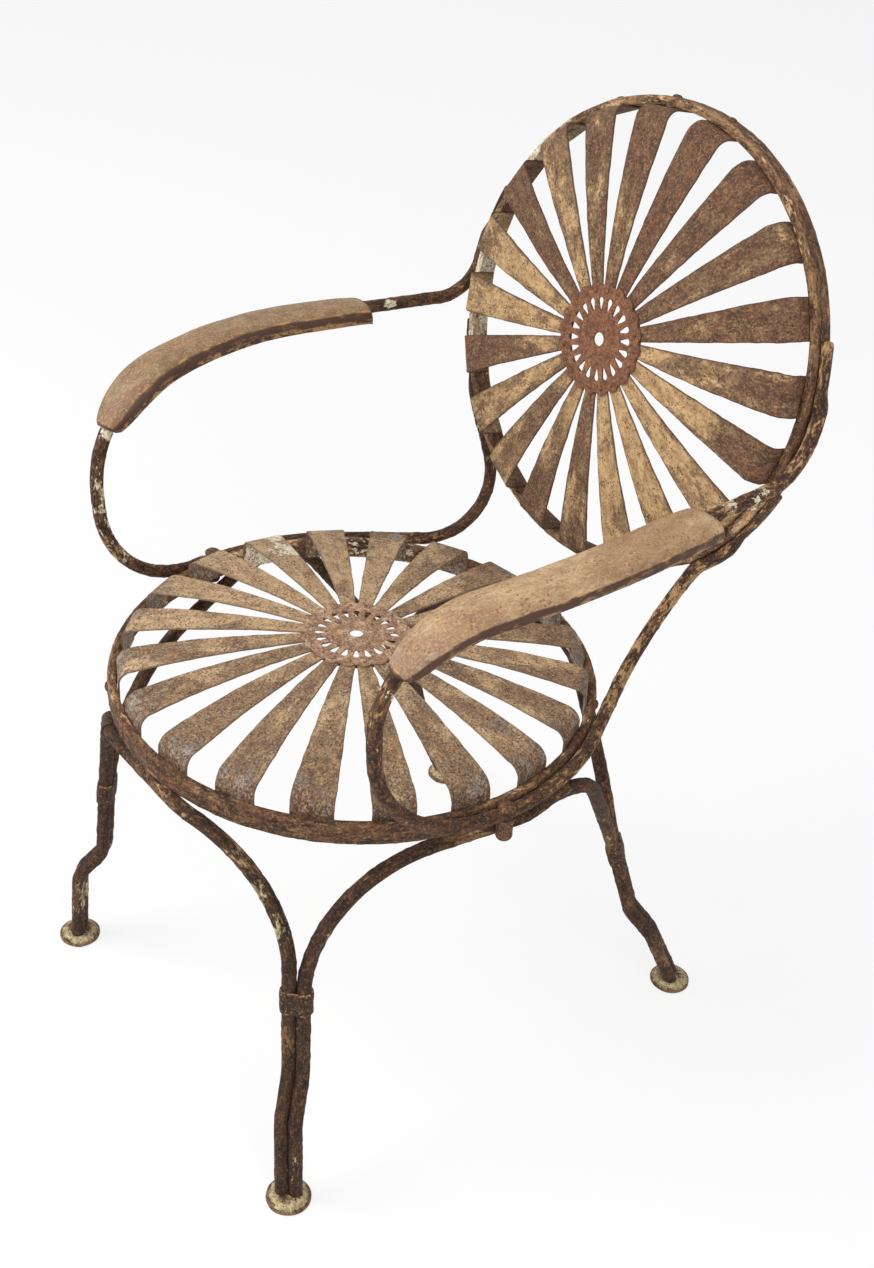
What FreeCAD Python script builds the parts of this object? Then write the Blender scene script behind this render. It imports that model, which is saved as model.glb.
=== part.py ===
# Sprung garden armchair of bent round bar and spring-steel strips, in millimetres.
#
# A round sprung seat and a round sprung back, each a ring of flat bar with twenty strips that
# fan out from a pierced rosette, arch over and turn down inside the ring. Four bars bent as
# arches make the legs, two bars side by side in each leg, and one long bar on each side makes
# the arm: back ring, arm, front curl, seat ring and back ring again.
#
# Frame: +Z up, the sitter faces -Y, +X is the sitter's left. The floor is Z = 0 and the origin
# lies on it, under the middle of the chair's bounding box. Until the last step the shapes
# stand in a frame whose Z axis is the seat's own axis.
import FreeCAD, Part
import math
import os

from FreeCAD import Placement, Rotation, Vector

# Round bar of the legs and arms, and how far a bend may stray from its true curve
BAR_DIAMETER = 12.0
BAR_SIDES = 8
BAR_CLEARANCE = 0.3
BEND_ERROR = 0.7

# Flat bar of the two rings, flat inside and eased outside
RING_HEIGHT = 20.0
RING_THICKNESS = 8.0
RING_EASE_DEPTH = 2.5
RING_EASE_HEIGHT = 5.0

# Seat ring
SEAT_RING_DIAMETER = 436.0
SEAT_RING_MID_Z = 386.0

# Back ring, its centre measured from the seat ring's rear and middle height
BACK_RING_DIAMETER = 420.0
BACK_RING_BEHIND = 76.0
BACK_RING_ABOVE = 260.0
BACK_RECLINE = 12.0
BACK_FAN_TURN = -1.0

# Spring strips
STRIP_COUNT = 20
STRIP_THICKNESS = 1.8
STRIP_INNER_WIDTH = 13.0
STRIP_OUTER_WIDTH = 36.0
STRIP_FLARE_SHORT = 14.0
STRIP_CROWN_RADIUS = 820.0
STRIP_TURN_RADIUS = 14.0
STRIP_TAIL = 8.0
STRIP_LAP = 8.0
SEAT_DOME_RISE = 42.0
BACK_DOME_RISE = 41.0
CROWN_CHORDS = 4
TURN_CHORDS = 4

# Rosettes: a pierced and scalloped plate over the strips, a plain washer behind them
ROSETTE_THICKNESS = 2.0
ROSETTE_BODY_DIAMETER = 93.0
ROSETTE_RIVET_CIRCLE = 87.0
SCALLOP_RADIUS = 6.5
SCALLOP_CHORDS = 3
ROSETTE_BORE = 12.0
PIERCING_OUTER_CIRCLE = 68.0
PIERCING_INNER_CIRCLE = 52.0
PIERCING_OUTER_RADIUS = 2.9
PIERCING_INNER_RADIUS = 0.8
WASHER_BORE = 76.0
WASHER_DIAMETER = 92.0

# Rim rivets
RIVET_HEAD_DIAMETER = 9.0
RIVET_HEAD_HEIGHT = 2.5
RIVET_SIDES = 6
RIVET_MARGIN = 4.0

# Feet and leg collars
FOOT_DIAMETER = 41.0
FOOT_HEIGHT = 8.0
FOOT_RIM = 3.0
FOOT_LAND_DIAMETER = 27.0
FOOT_SIDES = 24
COLLAR_HEIGHT = 24.0
COLLAR_THICKNESS = 2.0
COLLAR_CLEARANCE = 0.5
COLLAR_MID_Z = 212.0

# Legs: points of each leg's middle line. A place is (how far out beyond the seat ring's side,
# how far beyond its front or rear, height), with heights from the floor up to the kinks and
# from the seat ring's middle above them
FRONT_FOOT = (-22.0, -26.0)
FRONT_KINK_LOW = (-29.0, -28.0, 93.0)
FRONT_KINK_HIGH = (-47.0, -47.0, 128.0)
FRONT_ARCH_SHOULDER = (-65.0, -55.0, -44.0)
SIDE_ARCH_SHOULDER = (-65.0, -55.0, -54.0)
FRONT_SHOULDER_RADIUS = 140.0
REAR_FOOT = (-15.0, 65.0)
REAR_KINK_LOW = (-20.0, 23.0, 91.0)
REAR_KINK_HIGH = (-32.0, -2.0, 130.0)
REAR_LEG_TOP = (-43.0, -37.0, -150.0)
RIGHT_REAR_LEG_IN = 12.0
RIGHT_REAR_LEG_BEHIND = 9.0
REAR_BEND_RADIUS = 110.0
REAR_ARCH_SHOULDER = (-58.0, -45.0, -86.0)
LEG_BAR_OFFSET = 6.3
KINK_RADIUS = 28.0
ARCH_TOP_RADIUS = 60.0
ARCH_TOP_HALF = 60.0

# Side arches: each slips out from under the seat ring and meets the arm bar from below; angles
# on the rings are measured from the +X side
SIDE_ARCH_SLIP_ANGLE = 5.0
SIDE_ARCH_SLIP_IN = 4.0
SIDE_ARCH_SLIP_BELOW = 8.5
SIDE_ARCH_MEET_ANGLE = 12.0
SIDE_ARCH_MEET_RADIUS = 40.0
SIDE_ARCH_REAR_SHOULDER = (1.0, -129.0, -10.0)
SIDE_ARCH_REAR_RADIUS = 60.0

# Arm bars, with places as for the legs
ARM_TOP_ANGLE = 21.0
ARM_ELBOW_DROP = 37.0
ARM_ELBOW_RADIUS = 44.0
ARM_MIDDLE = (28.0, -201.0, 234.0)
ARM_MIDDLE_RADIUS = 400.0
ARM_FRONT_TOP = (-9.0, -75.0, 211.0)
ARM_FRONT_TOP_RADIUS = 95.0
ARM_FRONT_LOW = -86.0
ARM_FRONT_LOW_RADIUS = 110.0
ARM_SEAT_LIFT = 4.0
ARM_SEAT_FRONT_ANGLE = -7.0
ARM_SEAT_REAR_ANGLE = 32.0
ARM_REAR_TURN = 172.0
ARM_REAR_RADIUS = 70.0
ARM_LOW_ANGLE = -44.0
ARM_LOW_LEAD = 8.0
ARM_LOW_RADIUS = 49.0
ARM_END_ANGLE = -16.0

# Arm pads of sheet steel over the arm bars
PAD_REAR = -55.0
PAD_WIDTH = 46.0
PAD_TIP_WIDTH = 18.0
PAD_DEPTH = 15.0
PAD_THICKNESS = 2.0
PAD_CLEARANCE = 0.5
PAD_SECTION_SIDES = 7

# Bolts through the arm bars, whose long round nuts hang beside the side arches
BOLT_DIAMETER = 6.0
BOLT_HEAD_DIAMETER = 15.0
BOLT_HEAD_TOP_DIAMETER = 9.0
BOLT_HEAD_HEIGHT = 4.0
BOLT_NUT_DIAMETER = 14.4
BOLT_NUT_END_DIAMETER = 9.0
BOLT_NUT_HEIGHT = 20.0
BOLT_NUT_EASE = 3.0
BOLT_ANGLE = -2.6
BOLT_OUT = 1.0
BOLT_SIDES = 8

X_AXIS, Y_AXIS, Z_AXIS = Vector(1, 0, 0), Vector(0, 1, 0), Vector(0, 0, 1)
AS_DRAWN = Vector()
RIGHT_REAR_LEG_SHIFT = Vector(-RIGHT_REAR_LEG_IN, RIGHT_REAR_LEG_BEHIND, 0)
BAR_RADIUS = BAR_DIAMETER / 2
SEAT_RADIUS = SEAT_RING_DIAMETER / 2
BACK_RADIUS = BACK_RING_DIAMETER / 2
RECLINE = math.radians(BACK_RECLINE)
BACK_UP = Vector(0, math.sin(RECLINE), math.cos(RECLINE))
BACK_OUT = Vector(0, -math.cos(RECLINE), math.sin(RECLINE))
SEAT_CENTRE = Vector(0, 0, SEAT_RING_MID_Z)
BACK_CENTRE = Vector(0, SEAT_RADIUS + BACK_RING_BEHIND, SEAT_RING_MID_Z + BACK_RING_ABOVE)
SEAT_PLACE = Placement(SEAT_CENTRE, Rotation())
BACK_PLACE = Placement(BACK_CENTRE, Rotation(X_AXIS, BACK_UP, BACK_OUT, "ZXY"))
BACK_FAN_PLACE = BACK_PLACE.multiply(Placement(Vector(), Rotation(Z_AXIS, BACK_FAN_TURN)))
PITCH = 360.0 / STRIP_COUNT


# Points and polygons

def on_circle(radius, degrees, height=0.0):
    """A point on a circle about the Z axis."""
    a = math.radians(degrees)
    return Vector(radius * math.cos(a), radius * math.sin(a), height)


def polygon_face(points):
    """A flat face with the given corners."""
    return Part.Face(Part.makePolygon(list(points) + [points[0]]))


def mirrored(shape):
    """The shape on the other side of the chair."""
    return shape.mirror(Vector(), X_AXIS)


def opposite(point):
    """The point on the other side of the chair."""
    return Vector(-point.x, point.y, point.z)


def at_front(out, beyond, z):
    """A point on the +X side, measured from the seat ring's side and its front."""
    return Vector(SEAT_RADIUS + out, -SEAT_RADIUS - beyond, z)


def at_rear(out, beyond, z):
    """A point on the +X side, measured from the seat ring's side and its rear."""
    return Vector(SEAT_RADIUS + out, SEAT_RADIUS + beyond, z)


def from_ring(place):
    """A place whose height is measured from the seat ring's middle, as one from the floor."""
    return place[0], place[1], SEAT_RING_MID_Z + place[2]


# Bent bars

def bend(before, corner, after, radius):
    """Corners of the short straight runs that follow a bend from outside."""
    back = (before - corner).normalize()
    ahead = (after - corner).normalize()
    turn = math.pi - back.getAngle(ahead)
    reach = radius * math.tan(turn / 2)
    centre = corner + (back + ahead).normalize() * (radius / math.cos(turn / 2))
    start = corner + back * reach - centre
    tangent = back * -radius
    count = max(1, math.ceil(turn / (2 * math.acos(radius / (radius + BEND_ERROR)))))
    step = turn / count
    grow = 1 / math.cos(step / 2)
    angles = [(k + 0.5) * step for k in range(count)]
    return [centre + (start * math.cos(a) + tangent * math.sin(a)) * grow for a in angles]


def bent_route(first, bends, last):
    """Points of a bar's middle line: its ends, with (corner, radius) bends between them."""
    corners = [first] + [corner for corner, _ in bends] + [last]
    route = [first]
    for k, (corner, radius) in enumerate(bends):
        route += bend(corners[k], corner, corners[k + 2], radius)
    return route + [last]


def bar_section(at, direction):
    """Corners of the bar's section, with one flat turned up or outward."""
    side = direction.cross(Z_AXIS)
    if side.Length < 0.5:
        side = direction.cross(Y_AXIS)
    side.normalize()
    lift = side.cross(direction)
    corner = BAR_RADIUS / math.cos(math.pi / BAR_SIDES)
    angles = [2 * math.pi * (k + 0.5) / BAR_SIDES for k in range(BAR_SIDES)]
    return [at + side * (corner * math.cos(a)) + lift * (corner * math.sin(a)) for a in angles]


def slide_onto(points, direction, at, normal):
    """The points moved along the direction until they lie in a plane."""
    return [p + direction * ((at - p).dot(normal) / direction.dot(normal)) for p in points]


def bent_bar(route, cut=None):
    """A bar along the route, mitred where its runs meet, its ends square or cut to a plane."""
    runs = [(b - a).normalize() for a, b in zip(route, route[1:])]
    mitres = [cut or runs[0]] + [a + b for a, b in zip(runs, runs[1:])] + [cut or runs[-1]]
    section = bar_section(route[0], runs[0])
    sections = [slide_onto(section, runs[0], route[0], mitres[0])]
    for run, at, mitre in zip(runs, route[1:], mitres[1:]):
        sections.append(slide_onto(sections[-1], run, at, mitre))
    return skinned(sections)


def patch(a, b, c, d):
    """One flat face through four corners, or two where they don't lie in a plane."""
    normal = (b - a).cross(c - a).normalize()
    if abs((d - a).dot(normal)) < 1e-6:
        return [polygon_face([a, b, c, d])]
    return [polygon_face([a, b, c]), polygon_face([a, c, d])]


def skinned(sections):
    """A solid through outlines that all have the same number of corners."""
    faces = [polygon_face(sections[0]), polygon_face(sections[-1])]
    for low, high in zip(sections, sections[1:]):
        for k in range(len(low)):
            n = (k + 1) % len(low)
            faces += patch(low[k], low[n], high[n], high[k])
    solid = Part.Solid(Part.makeShell(faces))
    if solid.Volume < 0:
        solid.reverse()
    return solid


def stepped(levels, sides):
    """A solid about the Z axis with flat sides, through (radius, height) levels."""
    angles = [360.0 * (k + 0.5) / sides for k in range(sides)]
    return skinned([[on_circle(radius, a, height) for a in angles] for radius, height in levels])


# Rings, strips and rosettes, each about the Z axis with its ring's middle plane at Z = 0

def ring(diameter):
    """A ring of flat bar: flat inside, its outer corners eased."""
    outer, inner = diameter / 2, diameter / 2 - RING_THICKNESS
    top = RING_HEIGHT / 2
    face = outer - RING_EASE_DEPTH
    flat = top - RING_EASE_HEIGHT
    section = [(inner, -top), (face, -top), (outer, -flat), (outer, flat), (face, top), (inner, top)]
    return polygon_face([Vector(r, 0, z) for r, z in section]).revolve(Vector(), Z_AXIS, 360)


def strip_seat(diameter):
    """How far from the axis a strip's straight tail stands, its edges touching the ring."""
    inner = diameter / 2 - RING_THICKNESS
    return math.sqrt(inner ** 2 - (STRIP_OUTER_WIDTH / 2) ** 2)


def strip_profile(diameter, rise):
    """Side outline of a strip: flat under the rosette, crowned, turned down inside the ring."""
    start = ROSETTE_BODY_DIAMETER / 2
    seat = strip_seat(diameter)
    turn_r = seat - STRIP_TURN_RADIUS
    slope = math.asin((turn_r - start) / (STRIP_CROWN_RADIUS - STRIP_TURN_RADIUS))
    crown_z = rise - STRIP_CROWN_RADIUS
    turn_z = crown_z + (STRIP_CROWN_RADIUS - STRIP_TURN_RADIUS) * math.cos(slope)
    crown = [slope * k / CROWN_CHORDS for k in range(CROWN_CHORDS)]
    turn = [slope + (math.pi / 2 - slope) * k / TURN_CHORDS for k in range(TURN_CHORDS + 1)]

    def line(inset):
        points = [(start - STRIP_LAP, rise - inset)]
        big, small = STRIP_CROWN_RADIUS - inset, STRIP_TURN_RADIUS - inset
        points += [(start + big * math.sin(a), crown_z + big * math.cos(a)) for a in crown]
        points += [(turn_r + small * math.sin(a), turn_z + small * math.cos(a)) for a in turn]
        return points + [(seat - inset, -STRIP_TAIL)]

    return [Vector(r, 0, z) for r, z in line(0) + line(STRIP_THICKNESS)[::-1]]


def strip(diameter, rise):
    """One spring strip along +X, flaring from the rosette to the ring."""
    start = ROSETTE_BODY_DIAMETER / 2
    flare_end = diameter / 2 - RING_THICKNESS - STRIP_FLARE_SHORT
    half, wide = STRIP_INNER_WIDTH / 2, STRIP_OUTER_WIDTH / 2
    near, far = start - STRIP_LAP, diameter / 2
    plan = [(near - 1, half * near / start), (start, half), (flare_end, wide), (far, wide)]
    outline = [Vector(x, y, -RING_HEIGHT) for x, y in plan]
    outline += [Vector(x, -y, -RING_HEIGHT) for x, y in plan[::-1]]
    blank = polygon_face(strip_profile(diameter, rise)).extrude(Y_AXIS * STRIP_OUTER_WIDTH)
    blank.translate(Y_AXIS * (-STRIP_OUTER_WIDTH / 2))
    return blank.common(polygon_face(outline).extrude(Z_AXIS * (rise + 2 * RING_HEIGHT)))


def piercing():
    """Outline of one drop-shaped hole on +X, round outside and narrow towards the centre."""
    outer, inner = PIERCING_OUTER_CIRCLE / 2, PIERCING_INNER_CIRCLE / 2
    round_end = [(outer, PIERCING_OUTER_RADIUS, a) for a in (-100, -33, 33, 100)]
    narrow_end = [(inner, PIERCING_INNER_RADIUS, a) for a in (100, 260)]
    return [Vector(at, 0, 0) + on_circle(r, a) for at, r, a in round_end + narrow_end]


def rosette():
    """Pierced plate with a scallop round each rivet, its underside at Z = 0."""
    body, rivets = ROSETTE_BODY_DIAMETER / 2, ROSETTE_RIVET_CIRCLE / 2
    cosine = (body ** 2 + rivets ** 2 - SCALLOP_RADIUS ** 2) / (2 * body * rivets)
    valley = math.degrees(math.acos(cosine))
    corner = on_circle(body, valley) - Vector(rivets, 0, 0)
    reach = math.degrees(math.atan2(corner.y, corner.x))
    arc = [reach * (2 * k / SCALLOP_CHORDS - 1) for k in range(SCALLOP_CHORDS + 1)]
    scallop = [Vector(rivets, 0, 0) + on_circle(SCALLOP_RADIUS, a) for a in arc]
    outline = [turned(p, PITCH * (k + 0.5)) for k in range(STRIP_COUNT) for p in scallop]
    holes = [[turned(p, PITCH * k) for p in piercing()] for k in range(STRIP_COUNT)]
    bore = [on_circle(ROSETTE_BORE / 2, PITCH * k) for k in range(STRIP_COUNT)]
    return pierced_plate(outline, bore, *holes)


def washer():
    """Plain washer that clamps the strips from behind, its upper side at Z = 0."""
    angles = [PITCH / 2 * k for k in range(2 * STRIP_COUNT)]
    edges = [[on_circle(d / 2, a) for a in angles] for d in (WASHER_DIAMETER, WASHER_BORE)]
    return pierced_plate(*edges).translated(Z_AXIS * -ROSETTE_THICKNESS)


def pierced_plate(outline, *holes):
    """A plate of the rosette's thickness, standing on Z = 0."""
    wires = [Part.makePolygon(corners + [corners[0]]) for corners in (outline, *holes)]
    return Part.Face(wires, "Part::FaceMakerBullseye").extrude(Z_AXIS * ROSETTE_THICKNESS)


def turned(point, degrees):
    """The point turned about the Z axis."""
    return Rotation(Z_AXIS, degrees).multVec(point)


def spring_panel(name, diameter, rise, place):
    """Ring, strips and rosette of the seat or the back, as nodes set in place."""
    nodes = {name + "_ring": ring(diameter)}
    one = strip(diameter, rise)
    for k in range(STRIP_COUNT):
        nodes["%s_strip_%02d" % (name, k + 1)] = one.rotated(Vector(), Z_AXIS, PITCH * (k + 0.5))
    nodes[name + "_rosette"] = rosette().translated(Z_AXIS * rise)
    nodes[name + "_rosette_washer"] = washer().translated(Z_AXIS * (rise - STRIP_THICKNESS))
    return {key: placed(shape, place) for key, shape in nodes.items()}


def placed(shape, place):
    """A copy of the shape moved by a placement."""
    copy = shape.copy()
    copy.Placement = place.multiply(copy.Placement)
    return copy


# Legs

def front_leg(shoulder, beside):
    """Middle line of one bar of the front leg on the +X side, from its foot to a shoulder."""
    offset = beside.normalize() * LEG_BAR_OFFSET
    places = [(*FRONT_FOOT, FOOT_HEIGHT), FRONT_KINK_LOW, FRONT_KINK_HIGH, from_ring(shoulder)]
    return [at_front(*place) + offset for place in places]


def rear_leg(beside, shift):
    """Middle line of one bar of a rear leg as on the +X side, from its foot to its top."""
    offset = beside.normalize() * LEG_BAR_OFFSET + shift
    places = [(*REAR_FOOT, FOOT_HEIGHT), REAR_KINK_LOW, REAR_KINK_HIGH, from_ring(REAR_LEG_TOP)]
    return [at_rear(*place) + offset for place in places]


def front_arch():
    """The bar from one front foot over to the other, under the front of the seat ring."""
    foot, low, high, shoulder = front_leg(FRONT_ARCH_SHOULDER, Vector(-1, -1, 0))
    top = Vector(ARCH_TOP_HALF, -arch_top_radius(), arch_top_z())
    half = foot, [(low, KINK_RADIUS), (high, KINK_RADIUS),
                  (shoulder, FRONT_SHOULDER_RADIUS), (top, ARCH_TOP_RADIUS)]
    return arch_across(half, half)


def rear_arch():
    """The bar from one rear foot over to the other, under the back of the seat ring."""
    return arch_across(rear_arch_half(AS_DRAWN), rear_arch_half(RIGHT_REAR_LEG_SHIFT))


def rear_arch_half(shift):
    """Foot and bends of half the rear arch, as on the +X side."""
    foot, low, high, leg_top = rear_leg(Vector(-1, 1, 0), shift)
    shoulder = at_rear(*from_ring(REAR_ARCH_SHOULDER)) + shift
    top = Vector(ARCH_TOP_HALF, arch_top_radius(), arch_top_z())
    return foot, [(low, KINK_RADIUS), (high, KINK_RADIUS), (leg_top, REAR_BEND_RADIUS),
                  (shoulder, REAR_BEND_RADIUS), (top, ARCH_TOP_RADIUS)]


def arch_top_radius():
    """Distance from the seat's axis of an arch that passes under the ring."""
    return SEAT_RADIUS - RING_THICKNESS / 2


def arch_top_z():
    """Height of the middle line of an arch that touches the ring from below."""
    return SEAT_RING_MID_Z - RING_HEIGHT / 2 - BAR_RADIUS - BAR_CLEARANCE


def arch_across(left, right):
    """A bar across the chair, each half given by its foot and bends as on the +X side."""
    other = [(opposite(corner), radius) for corner, radius in right[1][::-1]]
    return bent_bar(bent_route(left[0], left[1] + other, opposite(right[0])), Z_AXIS)


def side_arch(shift):
    """The bar from a front foot to a rear foot as on the +X side, up against the arm bar."""
    foot, low, high, shoulder = front_leg(SIDE_ARCH_SHOULDER, Vector(1, 1, 0))
    end, rear_low, rear_high, leg_top = rear_leg(Vector(1, -1, 0), shift)
    radius, top_z = arm_seat_radius(), side_arch_top_z()
    slip = on_circle(radius - SIDE_ARCH_SLIP_IN, SIDE_ARCH_SLIP_ANGLE, top_z - SIDE_ARCH_SLIP_BELOW)
    meet = on_circle(radius, SIDE_ARCH_MEET_ANGLE, top_z)
    rear_shoulder = at_rear(*from_ring(SIDE_ARCH_REAR_SHOULDER))
    bends = [(low, KINK_RADIUS), (high, KINK_RADIUS), (shoulder, FRONT_SHOULDER_RADIUS),
             (slip, ARCH_TOP_RADIUS), (meet, SIDE_ARCH_MEET_RADIUS),
             (rear_shoulder, SIDE_ARCH_REAR_RADIUS), (leg_top, REAR_BEND_RADIUS),
             (rear_high, KINK_RADIUS), (rear_low, KINK_RADIUS)]
    return bent_bar(bent_route(foot, bends, end), Z_AXIS)


def side_arch_top_z():
    """Height of the side arch where it lies against the underside of the arm bar."""
    return SEAT_RING_MID_Z + ARM_SEAT_LIFT - BAR_DIAMETER - BAR_CLEARANCE


def collar_at(middle, direction, beside):
    """A band round the two bars of one leg."""
    half = COLLAR_HEIGHT / 2
    cross = direction.cross(beside).normalize()
    beside = cross.cross(direction).normalize()

    def outline(grow):
        a = BAR_RADIUS + grow
        cut = a * math.tan(math.pi / BAR_SIDES)
        points = [(cut, a), (a, cut), (a, -cut), (cut, -a)]
        right = [(u + LEG_BAR_OFFSET, v) for u, v in points]
        left = [(-u, v) for u, v in right[::-1]]
        return [middle - direction * half + beside * u + cross * v for u, v in right + left]

    inner, outer = outline(COLLAR_CLEARANCE), outline(COLLAR_CLEARANCE + COLLAR_THICKNESS)
    sleeve = polygon_face(outer).extrude(direction * COLLAR_HEIGHT)
    return sleeve.cut(polygon_face(inner).extrude(direction * COLLAR_HEIGHT))


def collars():
    """The four collars, each on its leg's own line."""
    front = at_front(*FRONT_KINK_HIGH), at_front(*from_ring(FRONT_ARCH_SHOULDER))
    rear = at_rear(*REAR_KINK_HIGH), at_rear(*from_ring(REAR_LEG_TOP))
    bands = []
    for (low, top), beside in ((front, Vector(1, 1, 0)), (rear, Vector(1, -1, 0))):
        along = (top - low).normalize()
        middle = low + along * ((COLLAR_MID_Z - low.z) / along.z)
        bands.append(collar_at(middle, along, beside))
    return on_four_legs(*bands)


def feet():
    """Four low domed discs with a flat land for the ends of the bars."""
    rim, land = FOOT_DIAMETER / 2, FOOT_LAND_DIAMETER / 2
    disc = stepped([(rim, 0), (rim, FOOT_RIM), (land, FOOT_HEIGHT)], FOOT_SIDES)
    front, rear = at_front(*FRONT_FOOT, 0), at_rear(*REAR_FOOT, 0)
    return on_four_legs(disc.translated(front), disc.translated(rear))


def on_four_legs(front, rear):
    """The left legs' pieces and the right legs' ones beside them."""
    right = [mirrored(front), mirrored(rear.translated(RIGHT_REAR_LEG_SHIFT))]
    return Part.makeCompound([front, rear] + right)


# Arms

def arm_seat_radius():
    """Distance from the seat's axis of the arm bar where it lies round the seat ring."""
    return SEAT_RADIUS + BAR_RADIUS + BAR_CLEARANCE


def on_seat_ring(point):
    """A point of the arm bar's middle line beside the seat ring."""
    return SEAT_PLACE.multVec(point + Z_AXIS * ARM_SEAT_LIFT)


def arm_back_radius():
    """Distance from the back's axis of the arm bar where it lies round the back ring."""
    return BACK_RADIUS + BAR_RADIUS + BAR_CLEARANCE


def between_tangents(radius, start, end):
    """Where the tangents of a circle at two angles meet."""
    middle, half = (start + end) / 2, math.radians(end - start) / 2
    return on_circle(radius / math.cos(half), middle)


def arm_bends():
    """The arm bar's bends from the back ring round to the back ring again."""
    back, seat = arm_back_radius(), arm_seat_radius()
    to_back = BACK_PLACE.multVec
    first = to_back(on_circle(back, ARM_TOP_ANGLE))
    upper = to_back(between_tangents(back, ARM_TOP_ANGLE, 0))
    elbow = to_back(Vector(back, -ARM_ELBOW_DROP, 0))
    lead = on_circle(1, ARM_SEAT_FRONT_ANGLE + 90)
    touch = on_circle(seat, ARM_SEAT_FRONT_ANGLE)
    forward = at_front(0, ARM_FRONT_LOW, 0).y - touch.y
    low_front = on_seat_ring(touch + lead * (forward / lead.y))
    round_seat = on_seat_ring(between_tangents(seat, ARM_SEAT_FRONT_ANGLE, ARM_SEAT_REAR_ANGLE))
    leave = on_circle(seat, ARM_SEAT_REAR_ANGLE)
    rear = on_seat_ring(leave + on_circle(ARM_REAR_TURN, ARM_SEAT_REAR_ANGLE + 90))
    meet = on_circle(back, ARM_LOW_ANGLE)
    rise = to_back(meet - on_circle(ARM_LOW_LEAD, ARM_LOW_ANGLE + 90))
    round_back = to_back(between_tangents(back, ARM_LOW_ANGLE, ARM_END_ANGLE))
    last = to_back(on_circle(back, ARM_END_ANGLE))
    middle, front_top = at_rear(*from_ring(ARM_MIDDLE)), at_front(*from_ring(ARM_FRONT_TOP))
    bends = [(upper, back), (elbow, ARM_ELBOW_RADIUS), (middle, ARM_MIDDLE_RADIUS),
             (front_top, ARM_FRONT_TOP_RADIUS), (low_front, ARM_FRONT_LOW_RADIUS),
             (round_seat, seat), (rear, ARM_REAR_RADIUS), (rise, ARM_LOW_RADIUS),
             (round_back, back)]
    return first, bends, last


def arm_bar():
    """The whole arm bar on the +X side."""
    return bent_bar(bent_route(*arm_bends()))


def pad_line():
    """Points of the arm bar's middle line that the pad covers, from the rear."""
    _, bends, _ = arm_bends()
    elbow, middle, front, low = [corner for corner, _ in bends[1:5]]
    ahead = middle - elbow
    start = elbow + ahead * ((at_rear(0, PAD_REAR, 0).y - elbow.y) / ahead.y)
    over = bend(middle, front, low, ARM_FRONT_TOP_RADIUS)
    return [start] + bend(elbow, middle, front, ARM_MIDDLE_RADIUS) + over[: len(over) // 2 + 1]


def pad_section(at, direction, width):
    """Corners of the pad's section, crowned above the bar and hollow below."""
    side = direction.cross(Z_AXIS).normalize()
    lift = side.cross(direction)
    crown = (PAD_DEPTH - PAD_THICKNESS) * math.cos(math.pi / (2 * PAD_SECTION_SIDES))
    base = at + lift * (BAR_RADIUS + PAD_CLEARANCE - crown)
    steps = range(PAD_SECTION_SIDES + 1)
    corners = []
    for inset, order in ((0, steps), (PAD_THICKNESS, steps[::-1])):
        half, depth = width / 2 - inset, PAD_DEPTH - inset
        angles = [math.pi * k / PAD_SECTION_SIDES for k in order]
        corners += [base + side * (half * math.cos(a)) + lift * (depth * math.sin(a))
                    for a in angles]
    return corners


def arm_pad():
    """Sheet-steel arm pad on the +X side, hollow below and narrow at its front."""
    line = pad_line()
    runs = [(b - a).normalize() for a, b in zip(line, line[1:])]
    facing = [runs[0]] + [(a + b).normalize() for a, b in zip(runs, runs[1:])] + [runs[-1]]
    tip = [1.0 - (k / 3) ** 2 for k in (1, 2, 3)]
    widths = [PAD_WIDTH] * (len(line) - 3)
    widths += [PAD_TIP_WIDTH + (PAD_WIDTH - PAD_TIP_WIDTH) * share for share in tip]
    return skinned([pad_section(*station) for station in zip(line, facing, widths)])


# Fasteners

def rim_rivets(diameter, place, covered):
    """A low head outside the ring at each strip, save where an arm bar covers it."""
    base = RIVET_HEAD_DIAMETER / 2
    head = stepped([(base, 0), (base / 2, RIVET_HEAD_HEIGHT)], RIVET_SIDES)
    heads = []
    for k in range(STRIP_COUNT):
        out = on_circle(1, PITCH * (k + 0.5))
        angle = math.degrees(math.atan2(out.y, abs(out.x)))
        if not any(low < angle < high for low, high in covered):
            spot = Placement(out * (diameter / 2), Rotation(Z_AXIS, out))
            heads.append(placed(head, place.multiply(spot)))
    return Part.makeCompound(heads)


def bolt():
    """Bolt on the +X side down through the arm bar, and its shank alone."""
    at = on_circle(arm_seat_radius() + BOLT_OUT, BOLT_ANGLE)
    top = SEAT_RING_MID_Z + ARM_SEAT_LIFT + BAR_RADIUS
    under = top - BAR_DIAMETER
    end = under - BOLT_NUT_HEIGHT
    shank = stepped([(BOLT_DIAMETER / 2, end), (BOLT_DIAMETER / 2, top)], BOLT_SIDES)
    head = stepped([(BOLT_HEAD_DIAMETER / 2, top),
                    (BOLT_HEAD_TOP_DIAMETER / 2, top + BOLT_HEAD_HEIGHT)], BOLT_SIDES)
    nut = stepped([(BOLT_NUT_END_DIAMETER / 2, end), (BOLT_NUT_DIAMETER / 2, end + BOLT_NUT_EASE),
                   (BOLT_NUT_DIAMETER / 2, under)], BOLT_SIDES)
    whole = shank.fuse([head, nut]).removeSplitter()
    return whole.translated(at), shank.translated(at)


# The chair

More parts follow.
